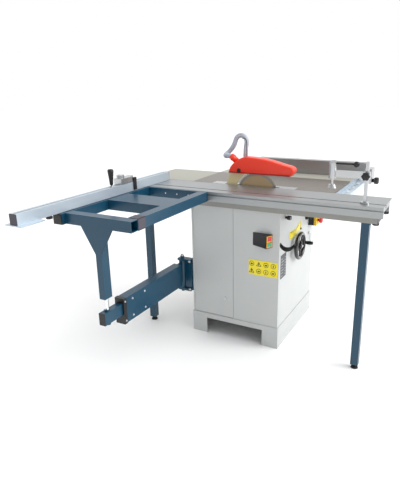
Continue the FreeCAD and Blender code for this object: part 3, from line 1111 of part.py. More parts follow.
os.makedirs("parts", exist_ok=True)
for piece in subparts:
    piece.Shape.exportStep(f"parts/{piece.Label}.step")
print(len(subparts), "sub-parts")
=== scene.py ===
# %% [markdown]
# # A sliding-table panel saw
# The design comes in as a fixed frame: every CAD part already has its place, in metres, with
# X to the machine's right, Y to its rear and Z up. This notebook adds what CAD leaves out:
# finishes, a real blade, a smooth guard, a ribbed hose, knobs, screws and plates.

# %% Load the frame
import math

import bmesh
import bpy
from mathutils import Matrix, Vector


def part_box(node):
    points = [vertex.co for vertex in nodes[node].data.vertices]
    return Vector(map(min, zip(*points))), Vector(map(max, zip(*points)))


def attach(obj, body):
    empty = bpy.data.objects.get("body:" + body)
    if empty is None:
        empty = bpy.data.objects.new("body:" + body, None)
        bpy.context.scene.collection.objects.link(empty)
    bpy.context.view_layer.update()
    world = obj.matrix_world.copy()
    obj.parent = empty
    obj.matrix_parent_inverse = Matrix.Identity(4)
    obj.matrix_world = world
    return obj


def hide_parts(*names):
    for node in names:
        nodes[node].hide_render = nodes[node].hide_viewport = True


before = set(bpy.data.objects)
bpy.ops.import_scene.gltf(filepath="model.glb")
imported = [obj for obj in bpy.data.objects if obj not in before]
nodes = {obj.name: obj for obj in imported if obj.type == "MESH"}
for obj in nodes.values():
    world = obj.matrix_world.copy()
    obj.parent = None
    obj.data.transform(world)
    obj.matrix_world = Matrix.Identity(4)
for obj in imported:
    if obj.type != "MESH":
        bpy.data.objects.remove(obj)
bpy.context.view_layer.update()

print(len(nodes), "CAD nodes")

# %% [markdown]
# ## Camera, floor and light
# The camera stands at the machine's left front corner, a little above the table. Its direction
# and roll come from the machine's straight edges. The room is a plain white studio: a large soft
# lamp in front, a very soft sun from above, and a white sky that is dim on the left only, so that
# faces turned to the front are the brightest and those turned to the left fall into shade.

# %% Camera
CAMERA_PLACE = Vector((-2.522, -1.078, 1.372))
CAMERA_AHEAD = Vector((0.8384, 0.4546, -0.3007)).normalized()
CAMERA_ROLL = math.radians(-0.95)

level_right = CAMERA_AHEAD.cross(Vector((0, 0, 1))).normalized()
level_up = level_right.cross(CAMERA_AHEAD)
right = math.cos(CAMERA_ROLL) * level_right + math.sin(CAMERA_ROLL) * level_up
up = math.cos(CAMERA_ROLL) * level_up - math.sin(CAMERA_ROLL) * level_right
camera = bpy.data.objects.new("camera", bpy.data.cameras.new("camera"))
camera.matrix_world = Matrix((
    (right.x, up.x, -CAMERA_AHEAD.x, CAMERA_PLACE.x),
    (right.y, up.y, -CAMERA_AHEAD.y, CAMERA_PLACE.y),
    (right.z, up.z, -CAMERA_AHEAD.z, CAMERA_PLACE.z),
    (0, 0, 0, 1),
))
camera.data.sensor_width = 36
camera.data.lens = 34.76
camera.data.shift_x = -0.0238
camera.data.shift_y = -0.0191
bpy.context.collection.objects.link(camera)
bpy.context.scene.camera = camera
print("camera", [round(value, 3) for value in camera.location])


# %% Colours and the one function that adds a node
def colour(code):
    """An sRGB hex code as the linear values that Blender's sockets take."""
    shares = [int(code[start:start + 2], 16) / 255 for start in (1, 3, 5)]
    linear = [share / 12.92 if share <= 0.04045 else ((share + 0.055) / 1.055) ** 2.4 for share in shares]
    return (*linear, 1)


def add(tree, kind, inputs=None, **settings):
    """Adds a node, sets its properties, and fills or links its inputs."""
    made = tree.nodes.new(kind)
    for name, value in settings.items():
        setattr(made, name, value)
    for socket, value in (inputs or {}).items():
        if isinstance(value, bpy.types.NodeSocket):
            tree.links.new(value, made.inputs[socket])
        else:
            made.inputs[socket].default_value = value
    return made


# %% Floor, sky and lamps
MM = 0.001
LEFT_GLOW = 0.55
FLOOR_TINT = colour("#FFFFFF")

stage_finish = bpy.data.materials.new("pale_studio_floor")
stage_finish.use_nodes = True
stage_finish.node_tree.nodes["Principled BSDF"].inputs["Base Color"].default_value = FLOOR_TINT
stage_finish.node_tree.nodes["Principled BSDF"].inputs["Roughness"].default_value = 0.9
floor_mesh = bpy.data.meshes.new("floor")
floor_mesh.from_pydata([(-30, -30, 0), (30, -30, 0), (30, 30, 0), (-30, 30, 0)], [], [(0, 1, 2, 3)])
floor_mesh.materials.append(stage_finish)
floor = bpy.data.objects.new("floor", floor_mesh)
bpy.context.collection.objects.link(floor)

sky = bpy.data.worlds.new("sky")
sky.use_nodes = True
glow = sky.node_tree.nodes["Background"]
glow.inputs["Color"].default_value = colour("#FFFFFF")
heading = add(sky.node_tree, "ShaderNodeTexCoord")
ways = add(sky.node_tree, "ShaderNodeSeparateXYZ", {"Vector": heading.outputs["Generated"]})
fade = add(sky.node_tree, "ShaderNodeMapRange", {"Value": ways.outputs["X"], "From Min": -0.9,
                                                 "From Max": 0.3, "To Min": LEFT_GLOW, "To Max": 1.0})
sky.node_tree.links.new(fade.outputs[0], glow.inputs["Strength"])
bpy.context.scene.world = sky
bpy.context.scene.view_settings.view_transform = "Standard"


def lamp(name, place, target, width, power):
    """A square soft lamp that faces a point."""
    light = bpy.data.lights.new(name, "AREA")
    light.size = width
    light.energy = power
    holder = bpy.data.objects.new(name, light)
    holder.location = place
    holder.rotation_euler = (Vector(target) - Vector(place)).to_track_quat("-Z", "Y").to_euler()
    bpy.context.collection.objects.link(holder)


lamp("front_lamp", (0.6, -4.2, 2.6), (0, 0, 0.6), 2.4, 120)
sun = bpy.data.objects.new("sun", bpy.data.lights.new("sun", "SUN"))
sun.data.energy = 1.0
sun.data.angle = math.radians(70)
sun.rotation_euler = Vector((0.15, -0.45, 1)).to_track_quat("Z", "Y").to_euler()
bpy.context.collection.objects.link(sun)

# %% [markdown]
# ## Finishes
# Every finish starts from what the real surface is. One function makes the shader with its gloss
# and its fine bump; the finishes differ in colour, in grain and in how the grain is stretched.
# Bevel is a shader node that rounds the look of every CAD edge by about a millimetre, as a press
# brake, a file or a mould does.


# %% The shader that most finishes share
def finish(name, code, rough, metal=0.0, coat=0.0, grain=None, stretch=(1, 1, 1), bump=0.05,
           spread=0.06, edge=1.0):
    """A material: flat colour varied by noise of a grain in millimetres, which also bumps it."""
    made = bpy.data.materials.new(name)
    made.use_nodes = True
    tree = made.node_tree
    shader = tree.nodes["Principled BSDF"]
    shader.inputs["Metallic"].default_value = metal
    shader.inputs["Coat Weight"].default_value = coat
    shader.inputs["Coat Roughness"].default_value = 0.12
    place = add(tree, "ShaderNodeTexCoord")
    wide = add(tree, "ShaderNodeMapping", {"Vector": place.outputs["Object"], "Scale": stretch})
    fine = add(tree, "ShaderNodeTexNoise", {"Vector": wide.outputs[0], "Scale": 1 / ((grain or 1.5) * MM),
                                            "Detail": 3.0, "Roughness": 0.6})
    cloud = add(tree, "ShaderNodeTexNoise", {"Vector": place.outputs["Object"], "Scale": 1 / (180 * MM),
                                             "Detail": 2.0})
    both = add(tree, "ShaderNodeMath", {0: fine.outputs["Fac"], 1: cloud.outputs["Fac"]}, operation="ADD")
    shade = add(tree, "ShaderNodeMapRange", {"Value": both.outputs[0], "From Min": 0.6, "From Max": 1.4,
                                             "To Min": 1 - spread, "To Max": 1 + spread})
    tint = add(tree, "ShaderNodeMix", {"Factor": 1.0, "A": colour(code)}, data_type="RGBA",
               blend_type="MULTIPLY")
    tree.links.new(shade.outputs[0], tint.inputs["B"])
    gloss = add(tree, "ShaderNodeMapRange", {"Value": fine.outputs["Fac"], "From Min": 0.3, "From Max": 0.7,
                                             "To Min": rough * 0.85, "To Max": rough * 1.15})
    round_edge = add(tree, "ShaderNodeBevel", {"Radius": edge * MM}, samples=4)
    relief = add(tree, "ShaderNodeBump", {"Strength": bump, "Distance": 0.2 * MM,
                                          "Height": fine.outputs["Fac"], "Normal": round_edge.outputs[0]})
    tree.links.new(tint.outputs["Result"], shader.inputs["Base Color"])
    tree.links.new(gloss.outputs[0], shader.inputs["Roughness"])
    tree.links.new(relief.outputs[0], shader.inputs["Normal"])
    return made


# %% [markdown]
# Sheet steel that is powder coated has a faint orange peel about a millimetre and a half across
# and an even colour. The legs and the outrigger are sprayed with a darker, glossier enamel,
# which mirrors the pale room at a low angle, so their tops look grey.

# %% Painted steel
cabinet_coat = finish("light_grey_powder_coat", "#BFC2C1", 0.42, grain=1.5, bump=0.08, spread=0.03)
petrol_enamel = finish("petrol_blue_enamel", "#053F58", 0.34, coat=0.1, grain=1.2, bump=0.05,
                       spread=0.06)
table_coat = finish("beige_grey_table_paint", "#A5A59A", 0.45, grain=1.5, bump=0.06, spread=0.03)
motor_coat = finish("motor_casting_paint", "#3C4E63", 0.5, grain=2.5, bump=0.3, spread=0.06)

# %% [markdown]
# Metals show how they were cut. Extrusions and ground tables carry fine lines along the way they
# were drawn or ground, so their noise is squeezed across the lines and stretched along them.

# %% Bare metals
ground_iron = finish("ground_cast_iron", "#8D8780", 0.42, metal=0.85, grain=0.9, stretch=(1, 0.03, 1),
                     bump=0.12, spread=0.1)
raw_iron = finish("sand_cast_iron", "#6E6E6E", 0.7, metal=0.5, grain=2.5, bump=0.6, spread=0.12)
anodised_long = finish("anodised_extrusion_along_y", "#A6A9AA", 0.38, metal=0.8, grain=0.8,
                       stretch=(1, 0.02, 1), bump=0.06, spread=0.05)
beam_alloy = finish("mill_finish_extrusion", "#8F8F8B", 0.42, metal=0.75, grain=0.8,
                    stretch=(1, 0.02, 1), bump=0.06, spread=0.05)
anodised_cross = finish("anodised_extrusion_along_x", "#C6D2DC", 0.36, metal=0.55, grain=0.8,
                        stretch=(0.02, 1, 1), bump=0.06, spread=0.04)
zinc_steel = finish("zinc_plated_steel", "#C2C4C6", 0.28, metal=1.0, grain=1.0, bump=0.05, spread=0.08)
bright_chrome = finish("polished_chrome", "#E4E6E8", 0.1, metal=1.0, grain=2.0, bump=0.0, spread=0.02)
saw_steel = finish("ground_saw_steel", "#CDB48C", 0.38, metal=0.35, grain=0.6, bump=0.08, spread=0.08)
knife_steel = finish("brushed_knife_steel", "#F6E6B4", 0.4, metal=0.1, grain=0.7,
                     stretch=(1, 1, 0.03), bump=0.06, spread=0.04)
tip_steel = finish("carbide_tip", "#A8A8A6", 0.35, metal=0.5, grain=0.4, bump=0.05, spread=0.1)

# %% [markdown]
# Mouldings: the guard is glossy red ABS, the knobs and handwheel are black phenolic or nylon with
# a soft sheen, the feet and belt are rubber.

# %% Plastics and rubber
guard_abs = finish("glossy_red_abs", "#FB3A1B", 0.32, coat=0.15, grain=1.5, bump=0.02, spread=0.03)
black_nylon = finish("black_nylon", "#17181A", 0.38, grain=0.8, bump=0.1, spread=0.15)
cap_plastic = finish("dark_grey_polyethylene_cap", "#4A4650", 0.55, grain=1.0, bump=0.15, spread=0.08)
black_rubber = finish("black_rubber", "#131313", 0.75, grain=0.7, bump=0.25, spread=0.15)
button_green = finish("green_button_moulding", "#2FA57C", 0.35, coat=0.2, bump=0.02, spread=0.03)
button_red = finish("red_button_moulding", "#D8323F", 0.35, coat=0.2, bump=0.02, spread=0.03)
mushroom_red = finish("red_mushroom_moulding", "#D3201F", 0.3, coat=0.3, bump=0.02, spread=0.03)
print(len(bpy.data.materials), "finishes")


# %% Two finishes on one CAD part
def halved(name, low, high, axis, share, blend=0.4):
    """A material that changes from one plain plastic to another at a place along an axis."""
    made = bpy.data.materials.new(name)
    made.use_nodes = True
    tree = made.node_tree
    shader = tree.nodes["Principled BSDF"]
    shader.inputs["Roughness"].default_value = 0.38
    place = add(tree, "ShaderNodeTexCoord")
    parts = add(tree, "ShaderNodeSeparateXYZ", {"Vector": place.outputs["Object"]})
    step = add(tree, "ShaderNodeMapRange", {"Value": parts.outputs[axis],
                                            "From Min": share - blend * MM, "From Max": share + blend * MM})
    tint = add(tree, "ShaderNodeMix", {"Factor": step.outputs[0], "A": colour(low), "B": colour(high)},
               data_type="RGBA")
    tree.links.new(tint.outputs["Result"], shader.inputs["Base Color"])
    round_edge = add(tree, "ShaderNodeBevel", {"Radius": 1.2 * MM}, samples=4)
    tree.links.new(round_edge.outputs[0], shader.inputs["Normal"])
    return made


# %% Put a finish on each CAD part
FINISHES = {
    cabinet_coat: ["cabinet_shell", "access_panel", "dust_outlet"],
    petrol_enamel: ["beam_legs", "outrigger_front_tube", "outrigger_rear_tube",
                    "outrigger_side_tube", "outrigger_crossbars", "outrigger_leg", "arm_bracket",
                    "swing_arm_outer", "swing_arm_inner"],
    ground_iron: ["main_table"],
    raw_iron: ["trunnion_brackets", "tilt_frame", "lift_block"],
    table_coat: ["rear_table", "side_table"],
    anodised_long: ["sliding_table", "rip_fence"],
    beam_alloy: ["slide_beam"],
    anodised_cross: ["crosscut_fence", "fence_rail"],
    zinc_steel: ["table_insert", "carriage_rollers", "fence_pivot", "arbor", "lift_screw", "clamp_post",
                 "clamp_arm", "clamp_plunger", "stop_carrier", "panel_latch", "rip_fence_head"],
    saw_steel: ["saw_blade"],
    knife_steel: ["riving_knife"],
    bright_chrome: ["drop_pin"],
    guard_abs: ["blade_guard"],
    black_nylon: ["swing_arm_guide", "hose_hanger", "push_handle", "fence_lock_knob", "clamp_knob",
                  "clamp_lever", "rip_fence_knob", "handwheel", "handwheel_grip", "tilt_lock",
                  "hose_cuff", "switch_housing", "flip_finger"],
    button_green: ["start_button"],
    button_red: ["stop_button"],
    mushroom_red: ["emergency_button"],
    black_rubber: ["leg_feet", "drive_belt"],
    motor_coat: ["motor", "motor_pulley"],
}
front_of_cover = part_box("emergency_housing")[0][1] + 14 * MM
two_tone = halved("black_box_yellow_cover", "#E2B81B", "#17181A", 1, front_of_cover)
FINISHES[two_tone] = ["emergency_housing"]
for material, names in FINISHES.items():
    for name in names:
        nodes[name].data.materials.clear()
        nodes[name].data.materials.append(material)
print(sum(len(names) for names in FINISHES.values()), "parts painted")

# %% [markdown]
# ## The suction hose
# The hose leaves the guard's outlet, loops back, climbs to a wire hook and hangs down behind the
# guard, where it ends in a cuff. Its middle line is a NURBS curve through the design's route.
# The wall is ribbed by a Geometry Nodes tree: the line is cut into short steps, its radius rises
# and falls with the distance along it, and the result is swept into a tube.

# %% Middle line of the hose
HOSE_ROUTE = (
    (-66, 102, 993), (-66, 119, 1007), (-68, 141, 1008), (-57, 160, 1005), (-37, 170, 1007),
    (-16, 167, 1016), (-5, 155, 1031), (-6, 140, 1048), (-12, 127, 1066), (-13, 119, 1088),
    (-14, 110, 1108), (-14, 90, 1119), (-14, 67, 1116), (-15, 51, 1100), (-15, 48, 1078),
    (-16, 53, 1055), (-18, 53, 1032), (-18, 54, 1009), (-18, 54, 986),
)
HOSE_WIDE = 28 * MM
RIB_PITCH = 6 * MM
RIB_HIGH = 1.4 * MM


def spline(name, points):
    """An open NURBS curve with these points, in millimetres, as its control points."""
    data = bpy.data.curves.new(name, "CURVE")
    data.dimensions = "3D"
    line = data.splines.new("NURBS")
    line.points.add(len(points) - 1)
    for point, place in zip(line.points, points):
        point.co = (*(value * MM for value in place), 1)
    line.order_u = 3
    line.use_endpoint_u = True
    line.resolution_u = 24
    holder = bpy.data.objects.new(name, data)
    bpy.context.collection.objects.link(holder)
    return holder


def plain_mesh(holder, name):
    """A new object with the evaluated mesh of another one, which is then removed."""
    graph = bpy.context.evaluated_depsgraph_get()
    graph.update()
    mesh = bpy.data.meshes.new_from_object(holder.evaluated_get(graph), depsgraph=graph)
    bpy.data.objects.remove(holder)
    mesh.name = name
    made = bpy.data.objects.new(name, mesh)
    bpy.context.collection.objects.link(made)
    return made


hose_line = plain_mesh(spline("hose_line", HOSE_ROUTE), "hose_middle")
bpy.data.objects.remove(hose_line)


# %% Geometry Nodes helpers
def new_tree(name, **sizes):
    """A geometry tree with a Geometry input and output, and one named number input per size."""
    tree = bpy.data.node_groups.new(name, "GeometryNodeTree")
    tree.interface.new_socket("Geometry", in_out="INPUT", socket_type="NodeSocketGeometry")
    tree.interface.new_socket("Geometry", in_out="OUTPUT", socket_type="NodeSocketGeometry")
    for label, value in sizes.items():
        kind = "NodeSocketInt" if isinstance(value, int) else "NodeSocketFloat"
        tree.interface.new_socket(label, in_out="INPUT", socket_type=kind).default_value = value
    return tree, tree.nodes.new("NodeGroupInput"), tree.nodes.new("NodeGroupOutput")


def end_tree(tree, out, geometry, material):
    """Ends a tree in Realize Instances and Set Material."""
    real = add(tree, "GeometryNodeRealizeInstances", {"Geometry": geometry})
    painted = add(tree, "GeometryNodeSetMaterial", {"Geometry": real.outputs[0], "Material": material})
    tree.links.new(painted.outputs[0], out.inputs["Geometry"])


def grow(holder, tree, name):
    """Runs a tree on an object and keeps the result as a plain mesh."""
    modifier = holder.modifiers.new(tree.name, "NODES")
    modifier.node_group = tree
    return plain_mesh(holder, name)


# %% Ribbed hose
hose_plastic = finish("translucent_ribbed_pvc", "#C3CAD6", 0.35, coat=0.2, grain=2, bump=0.02, spread=0.03)
hose_plastic.node_tree.nodes["Principled BSDF"].inputs["Transmission Weight"].default_value = 0.25

ribs, ribs_in, ribs_out = new_tree("ribbed_tube", Radius=HOSE_WIDE / 2, Pitch=RIB_PITCH, Height=RIB_HIGH)
steps = add(ribs, "GeometryNodeResampleCurve", {"Curve": ribs_in.outputs["Geometry"], "Length": 1.5 * MM},
            mode="LENGTH")
along = add(ribs, "GeometryNodeSplineParameter")
turns = add(ribs, "ShaderNodeMath", {0: along.outputs["Length"], 1: ribs_in.outputs["Pitch"]},
            operation="DIVIDE")
angle = add(ribs, "ShaderNodeMath", {0: turns.outputs[0], 1: math.tau}, operation="MULTIPLY")
wave = add(ribs, "ShaderNodeMath", {0: angle.outputs[0]}, operation="COSINE")
high = add(ribs, "ShaderNodeMath", {0: wave.outputs[0], 1: -1.0}, operation="ADD")
half_rib = add(ribs, "ShaderNodeMath", {0: ribs_in.outputs["Height"], 1: 0.5}, operation="MULTIPLY")
reach = add(ribs, "ShaderNodeMath", {0: high.outputs[0], 1: half_rib.outputs[0],
                                     2: ribs_in.outputs["Radius"]}, operation="MULTIPLY_ADD")
sized = add(ribs, "GeometryNodeSetCurveRadius", {"Curve": steps.outputs[0], "Radius": reach.outputs[0]})
ring = add(ribs, "GeometryNodeCurvePrimitiveCircle", {"Radius": 1.0, "Resolution": 20})
wall = add(ribs, "GeometryNodeCurveToMesh", {"Curve": sized.outputs[0], "Profile Curve": ring.outputs[0],
                                             "Fill Caps": True})
if "Scale" in wall.inputs:
    ribs.links.new(reach.outputs[0], wall.inputs["Scale"])
smooth = add(ribs, "GeometryNodeSetShadeSmooth", {"Geometry": wall.outputs[0]})
end_tree(ribs, ribs_out, smooth.outputs[0], hose_plastic)

hose = grow(spline("hose_spline", HOSE_ROUTE), ribs, "ribbed_hose")
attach(hose, "guard")
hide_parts("suction_hose")
print("hose", len(hose.data.polygons), "faces")


# %% Piece helpers
def piece(name, mesh, material, body, smooth=True, replaces=()):
    """An object for a finished mesh: its finish, its body, and the CAD nodes it stands for."""
    mesh.materials.clear()
    mesh.materials.append(material)
    if smooth:
        mesh.shade_smooth()
    made = bpy.data.objects.new(name, mesh)
    bpy.context.collection.objects.link(made)
    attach(made, body)
    if replaces:
        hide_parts(*replaces)
    return made


def closed(grid, name):
    """A bmesh turned into a mesh: doubles merged and faces turned outwards."""
    bmesh.ops.remove_doubles(grid, verts=grid.verts, dist=1e-6)
    bmesh.ops.recalc_face_normals(grid, faces=grid.faces)
    mesh = bpy.data.meshes.new(name)
    grid.to_mesh(mesh)
    grid.free()
    return mesh


def round_edges(made, width, segments=3, angle=30):
    """Rounds a piece's sharp edges by a width in millimetres."""
    bevel = made.modifiers.new("rounded_edges", "BEVEL")
    bevel.width = width * MM
    bevel.segments = segments
    bevel.limit_method = "ANGLE"
    bevel.angle_limit = math.radians(angle)
    bevel.harden_normals = True
    return made


AXES = {"x": (1, 2, 0), "y": (0, 2, 1), "z": (0, 1, 2)}


def placed(axis, first, second, along):
    """A point from two across coordinates and one along an axis, all in millimetres."""
    point = [0, 0, 0]
    for spot, value in zip(AXES[axis], (first, second, along)):
        point[spot] = value * MM
    return point


def turned(name, axis, centre, profile, sides=40):
    """A lathe mesh: the profile is (radius, place along the axis) from one end to the other."""
    grid = bmesh.new()
    rings = []
    for radius, along in profile:
        if radius == 0:
            rings.append([grid.verts.new(placed(axis, *centre, along))])
            continue
        rings.append([
            grid.verts.new(placed(axis, centre[0] + radius * math.cos(math.tau * side / sides),
                                  centre[1] + radius * math.sin(math.tau * side / sides), along))
            for side in range(sides)
        ])
    for near, far in zip(rings, rings[1:]):
        for side in range(sides):
            other = (side + 1) % sides
            if len(near) == 1:
                grid.faces.new((near[0], far[side], far[other]))
            elif len(far) == 1:
                grid.faces.new((near[side], near[other], far[0]))
            else:
                grid.faces.new((near[side], near[other], far[other], far[side]))
    return closed(grid, name)


def prism(name, axis, outline, low, high):
    """A flat plate: an outline on the two across axes, in millimetres, from low to high."""
    grid = bmesh.new()
    near = [grid.verts.new(placed(axis, *point, low)) for point in outline]
    far = [grid.verts.new(placed(axis, *point, high)) for point in outline]
    grid.faces.new(near)
    grid.faces.new(far[::-1])
    for index in range(len(outline)):
        other = (index + 1) % len(outline)
        grid.faces.new((near[index], near[other], far[other], far[index]))
    return closed(grid, name)


def tube_along(name, points, radius, sides=16, bends=6):
    """A round wire or bar through points in millimetres, with its corners rounded by Catmull-Rom."""
    spots = [Vector(point) for point in points]
    path = []
    for index in range(len(spots) - 1):
        before, after = spots[max(index - 1, 0)], spots[min(index + 2, len(spots) - 1)]
        start, end = spots[index], spots[index + 1]
        for step in range(bends):
            t = step / bends
            path.append(0.5 * (2 * start + (end - before) * t
                               + (2 * before - 5 * start + 4 * end - after) * t ** 2
                               + (3 * start - before - 3 * end + after) * t ** 3))
    path.append(spots[-1])
    grid = bmesh.new()
    side_way = None
    rings = []
    for index, spot in enumerate(path):
        ahead = (path[min(index + 1, len(path) - 1)] - path[max(index - 1, 0)]).normalized()
        if side_way is None:
            side_way = ahead.orthogonal().normalized()
        side_way = (side_way - side_way.dot(ahead) * ahead).normalized()
        other_way = ahead.cross(side_way)
        rings.append([
            grid.verts.new(MM * (spot + radius * (math.cos(math.tau * side / sides) * side_way
                                                  + math.sin(math.tau * side / sides) * other_way)))
            for side in range(sides)
        ])
    for near, far in zip(rings, rings[1:]):
        for side in range(sides):
            grid.faces.new((near[side], near[(side + 1) % sides], far[(side + 1) % sides], far[side]))
    grid.faces.new(rings[0])
    grid.faces.new(rings[-1][::-1])
    return closed(grid, name)


def boxed(name, x, y, z):
    """A box from three spans in millimetres."""
    return prism(name, "x", [(y[0], z[0]), (y[1], z[0]), (y[1], z[1]), (y[0], z[1])], *x)


def joined(name, *meshes):
    """Several meshes as one."""
    grid = bmesh.new()
    for mesh in meshes:
        grid.from_mesh(mesh)
    whole = bpy.data.meshes.new(name)
    grid.to_mesh(whole)
    grid.free()
    return whole


def moved(mesh, place, ahead):
    """A mesh made along Z about the origin, put at a place in millimetres and turned to a direction."""
    turn = Vector(ahead).normalized().to_track_quat("Z", "Y").to_matrix().to_4x4()
    mesh.transform(Matrix.Translation(MM * Vector(place)) @ turn)
    return mesh


def circle(centre, radius, start=0, end=360, count=24):
    """Points on an arc, in millimetres and degrees."""
    return [(centre[0] + radius * math.cos(math.radians(start + (end - start) * step / count)),
             centre[1] + radius * math.sin(math.radians(start + (end - start) * step / count)))
            for step in range(count + (abs(end - start) < 360))]


def lobed(name, axis, centre, radius, low, high, lobes=6, depth=0.16):
    """A hand knob with soft lobes, a crowned top and a boss under it."""
    grid = bmesh.new()
    span = high - low
    levels = [(0.0, 0.5), (0.25, 0.55), (0.3, 0.93), (0.42, 1.0), (0.8, 1.0), (0.93, 0.93), (1.0, 0.75)]
    rings = []
    for share, scale in levels:
        ring_points = []
        for step in range(72):
            turn = math.tau * step / 72
            lobe = 1 - depth * (1 - math.cos(lobes * turn)) / 2 if scale > 0.6 else 1
            ring_points.append(grid.verts.new(placed(
                axis, centre[0] + radius * scale * lobe * math.cos(turn),
                centre[1] + radius * scale * lobe * math.sin(turn), low + share * span)))
        rings.append(ring_points)
    for near, far in zip(rings, rings[1:]):
        for side in range(72):
            grid.faces.new((near[side], near[(side + 1) % 72], far[(side + 1) % 72], far[side]))
    grid.faces.new(rings[0])
    grid.faces.new(rings[-1][::-1])
    return closed(grid, name)


def ball(radius, middle, count=12, start=-90, end=90):
    """A lathe profile of a ball about a place along the axis."""
    return [(max(0.0, radius * math.cos(math.radians(start + (end - start) * step / count)))
             if 0 < step < count or abs(start if step == 0 else end) != 90 else 0,
             middle + radius * math.sin(math.radians(start + (end - start) * step / count)))
            for step in range(count + 1)]


# %% [markdown]
# ## Saw blade and riving knife
# A 254 mm blade with sixty carbide-tipped teeth: a ground plate with a gullet before each tooth
# and a harder tip on each tooth's face. The flange of the arbor covers its bore.

# %% Saw blade
BLADE_X, BLADE_Y, BLADE_Z = -66, -40, 800
TOOTH_COUNT = 60
TIP_RADIUS, ROOT_RADIUS = 126.9, 119.5

plate_line, tips = [], []
for tooth in range(TOOTH_COUNT):
    for share, radius in ((0.0, TIP_RADIUS - 0.3), (0.34, TIP_RADIUS - 2.2), (0.62, ROOT_RADIUS + 1.2),
                          (0.82, ROOT_RADIUS), (0.97, ROOT_RADIUS + 1.6)):
        angle = math.tau * (tooth + share) / TOOTH_COUNT
        plate_line.append((BLADE_Y + radius * math.cos(angle), BLADE_Z + radius * math.sin(angle)))
    angle = math.tau * tooth / TOOTH_COUNT
    tip_line = []
    for back, radius in ((-0.10, ROOT_RADIUS + 3), (0.12, ROOT_RADIUS + 3), (0.12, TIP_RADIUS - 0.6),
                         (-0.06, TIP_RADIUS)):
        turn = angle + back * math.tau / TOOTH_COUNT
        tip_line.append((BLADE_Y + radius * math.cos(turn), BLADE_Z + radius * math.sin(turn)))
    tips.append(prism("tip", "x", tip_line, BLADE_X - 1.6, BLADE_X + 1.6))
piece("saw_plate", prism("saw_plate", "x", plate_line, BLADE_X - 1.2, BLADE_X + 1.2), saw_steel, "spindle",
      smooth=False, replaces=["saw_blade"])
piece("carbide_tips", joined("carbide_tips", *tips), tip_steel, "spindle", smooth=False)
rim = []
for side in (-1, 1):
    rim.append(turned("rim", "x", (BLADE_Y, BLADE_Z),
                      [(118.9, BLADE_X + side * 1.2), (118.9, BLADE_X + side * 1.28),
                       (108, BLADE_X + side * 1.28), (108, BLADE_X + side * 1.2)], sides=96))
piece("ground_rim", joined("ground_rim", *rim), tip_steel, "spindle", smooth=False)

# %% [markdown]
# ## The guard
# The guard is one glossy moulding: a smooth arched outline, both sides rounded into the back, and
# a lip along its open bottom, coloured a darker red as painted shade. Behind the pivot bolt the outlet takes the
# hose.

# %% Guard
GUARD_SPAN = (-96, -36)
GUARD_BACK, GUARD_LONG, GUARD_LOW, GUARD_TALL = 127, 385, 918, 93
GUARD_LINE = (
    (0, 0), (0, 0.05), (0.03, 0.37), (0.09, 0.62), (0.17, 0.85), (0.25, 1), (0.51, 0.93), (0.66, 0.83),
    (0.86, 0.62), (0.96, 0.54), (1, 0.38), (0.99, 0.2), (0.95, 0),
)
corners = [(GUARD_BACK - back * GUARD_LONG, GUARD_LOW + up * GUARD_TALL) for back, up in GUARD_LINE]
arch = [corners[0]]
for index in range(1, len(corners) - 1):
    before, corner, after = corners[index - 1], corners[index], corners[index + 1]
    first = tuple(corner[k] + 0.42 * (before[k] - corner[k]) for k in (0, 1))
    last = tuple(corner[k] + 0.42 * (after[k] - corner[k]) for k in (0, 1))
    for step in range(5):
        t = step / 4
        arch.append(tuple((1 - t) ** 2 * first[k] + 2 * t * (1 - t) * corner[k] + t ** 2 * last[k]
                          for k in (0, 1)))
arch.append(corners[-1])
centre_y = sum(point[0] for point in arch) / len(arch)

ROUNDING = 8
grid = bmesh.new()
rings = []
steps_in = [(0, ROUNDING)]
for degrees in (15, 30, 45, 60, 75, 90):
    turn = math.radians(degrees)
    steps_in.append((ROUNDING * (1 - math.cos(turn)), ROUNDING * (1 - math.sin(turn))))
stations = [(GUARD_SPAN[0] + x, inset) for x, inset in steps_in]
stations += [(GUARD_SPAN[1] - x, inset) for x, inset in reversed(steps_in)]
for x, inset in stations:
    ring_points = []
    for index, (y, z) in enumerate(arch):
        ahead = Vector(arch[min(index + 1, len(arch) - 1)]) - Vector(arch[max(index - 1, 0)])
        inwards = Vector((-ahead.y, ahead.x)).normalized()
        if index in (0, len(arch) - 1):
            inwards = Vector((math.copysign(1, centre_y - y), 0))
        ring_points.append(grid.verts.new((x * MM, (y + inwards.x * inset) * MM,
                                           max(z + inwards.y * inset, GUARD_LOW) * MM)))
    rings.append(ring_points)
for near, far in zip(rings, rings[1:]):
    for a in range(len(near) - 1):
        grid.faces.new((near[a], near[a + 1], far[a + 1], far[a]))
grid.faces.new(rings[0])
grid.faces.new(rings[-1][::-1])
shell = piece("arched_guard", closed(grid, "arched_guard"), guard_abs, "guard",
              replaces=["blade_guard"])
GUARD_WALL = 3 * MM
wall = shell.modifiers.new("wall", "SOLIDIFY")
wall.thickness = GUARD_WALL
wall.offset = -1

# Painted shade: the lip's darker red stands in for the shade along the guard's bottom edge, since the moulding
# itself is one red.
lip_red_painted_shade = finish("red_abs_lip_darkened_as_painted_shade", "#A3160F", 0.35, coat=0.15, bump=0.02, spread=0.03)
lip_long = (corners[-1][0] + ROUNDING - 5, GUARD_BACK - ROUNDING + 3)
lips = [boxed("lip", x, lip_long, (GUARD_LOW, GUARD_LOW + 7)) for x in ((-97.4, -95.9), (-36.1, -34.6))]
round_edges(piece("guard_lip_painted_shade", joined("guard_lip_painted_shade", *lips), lip_red_painted_shade, "guard", smooth=False), 0.6)

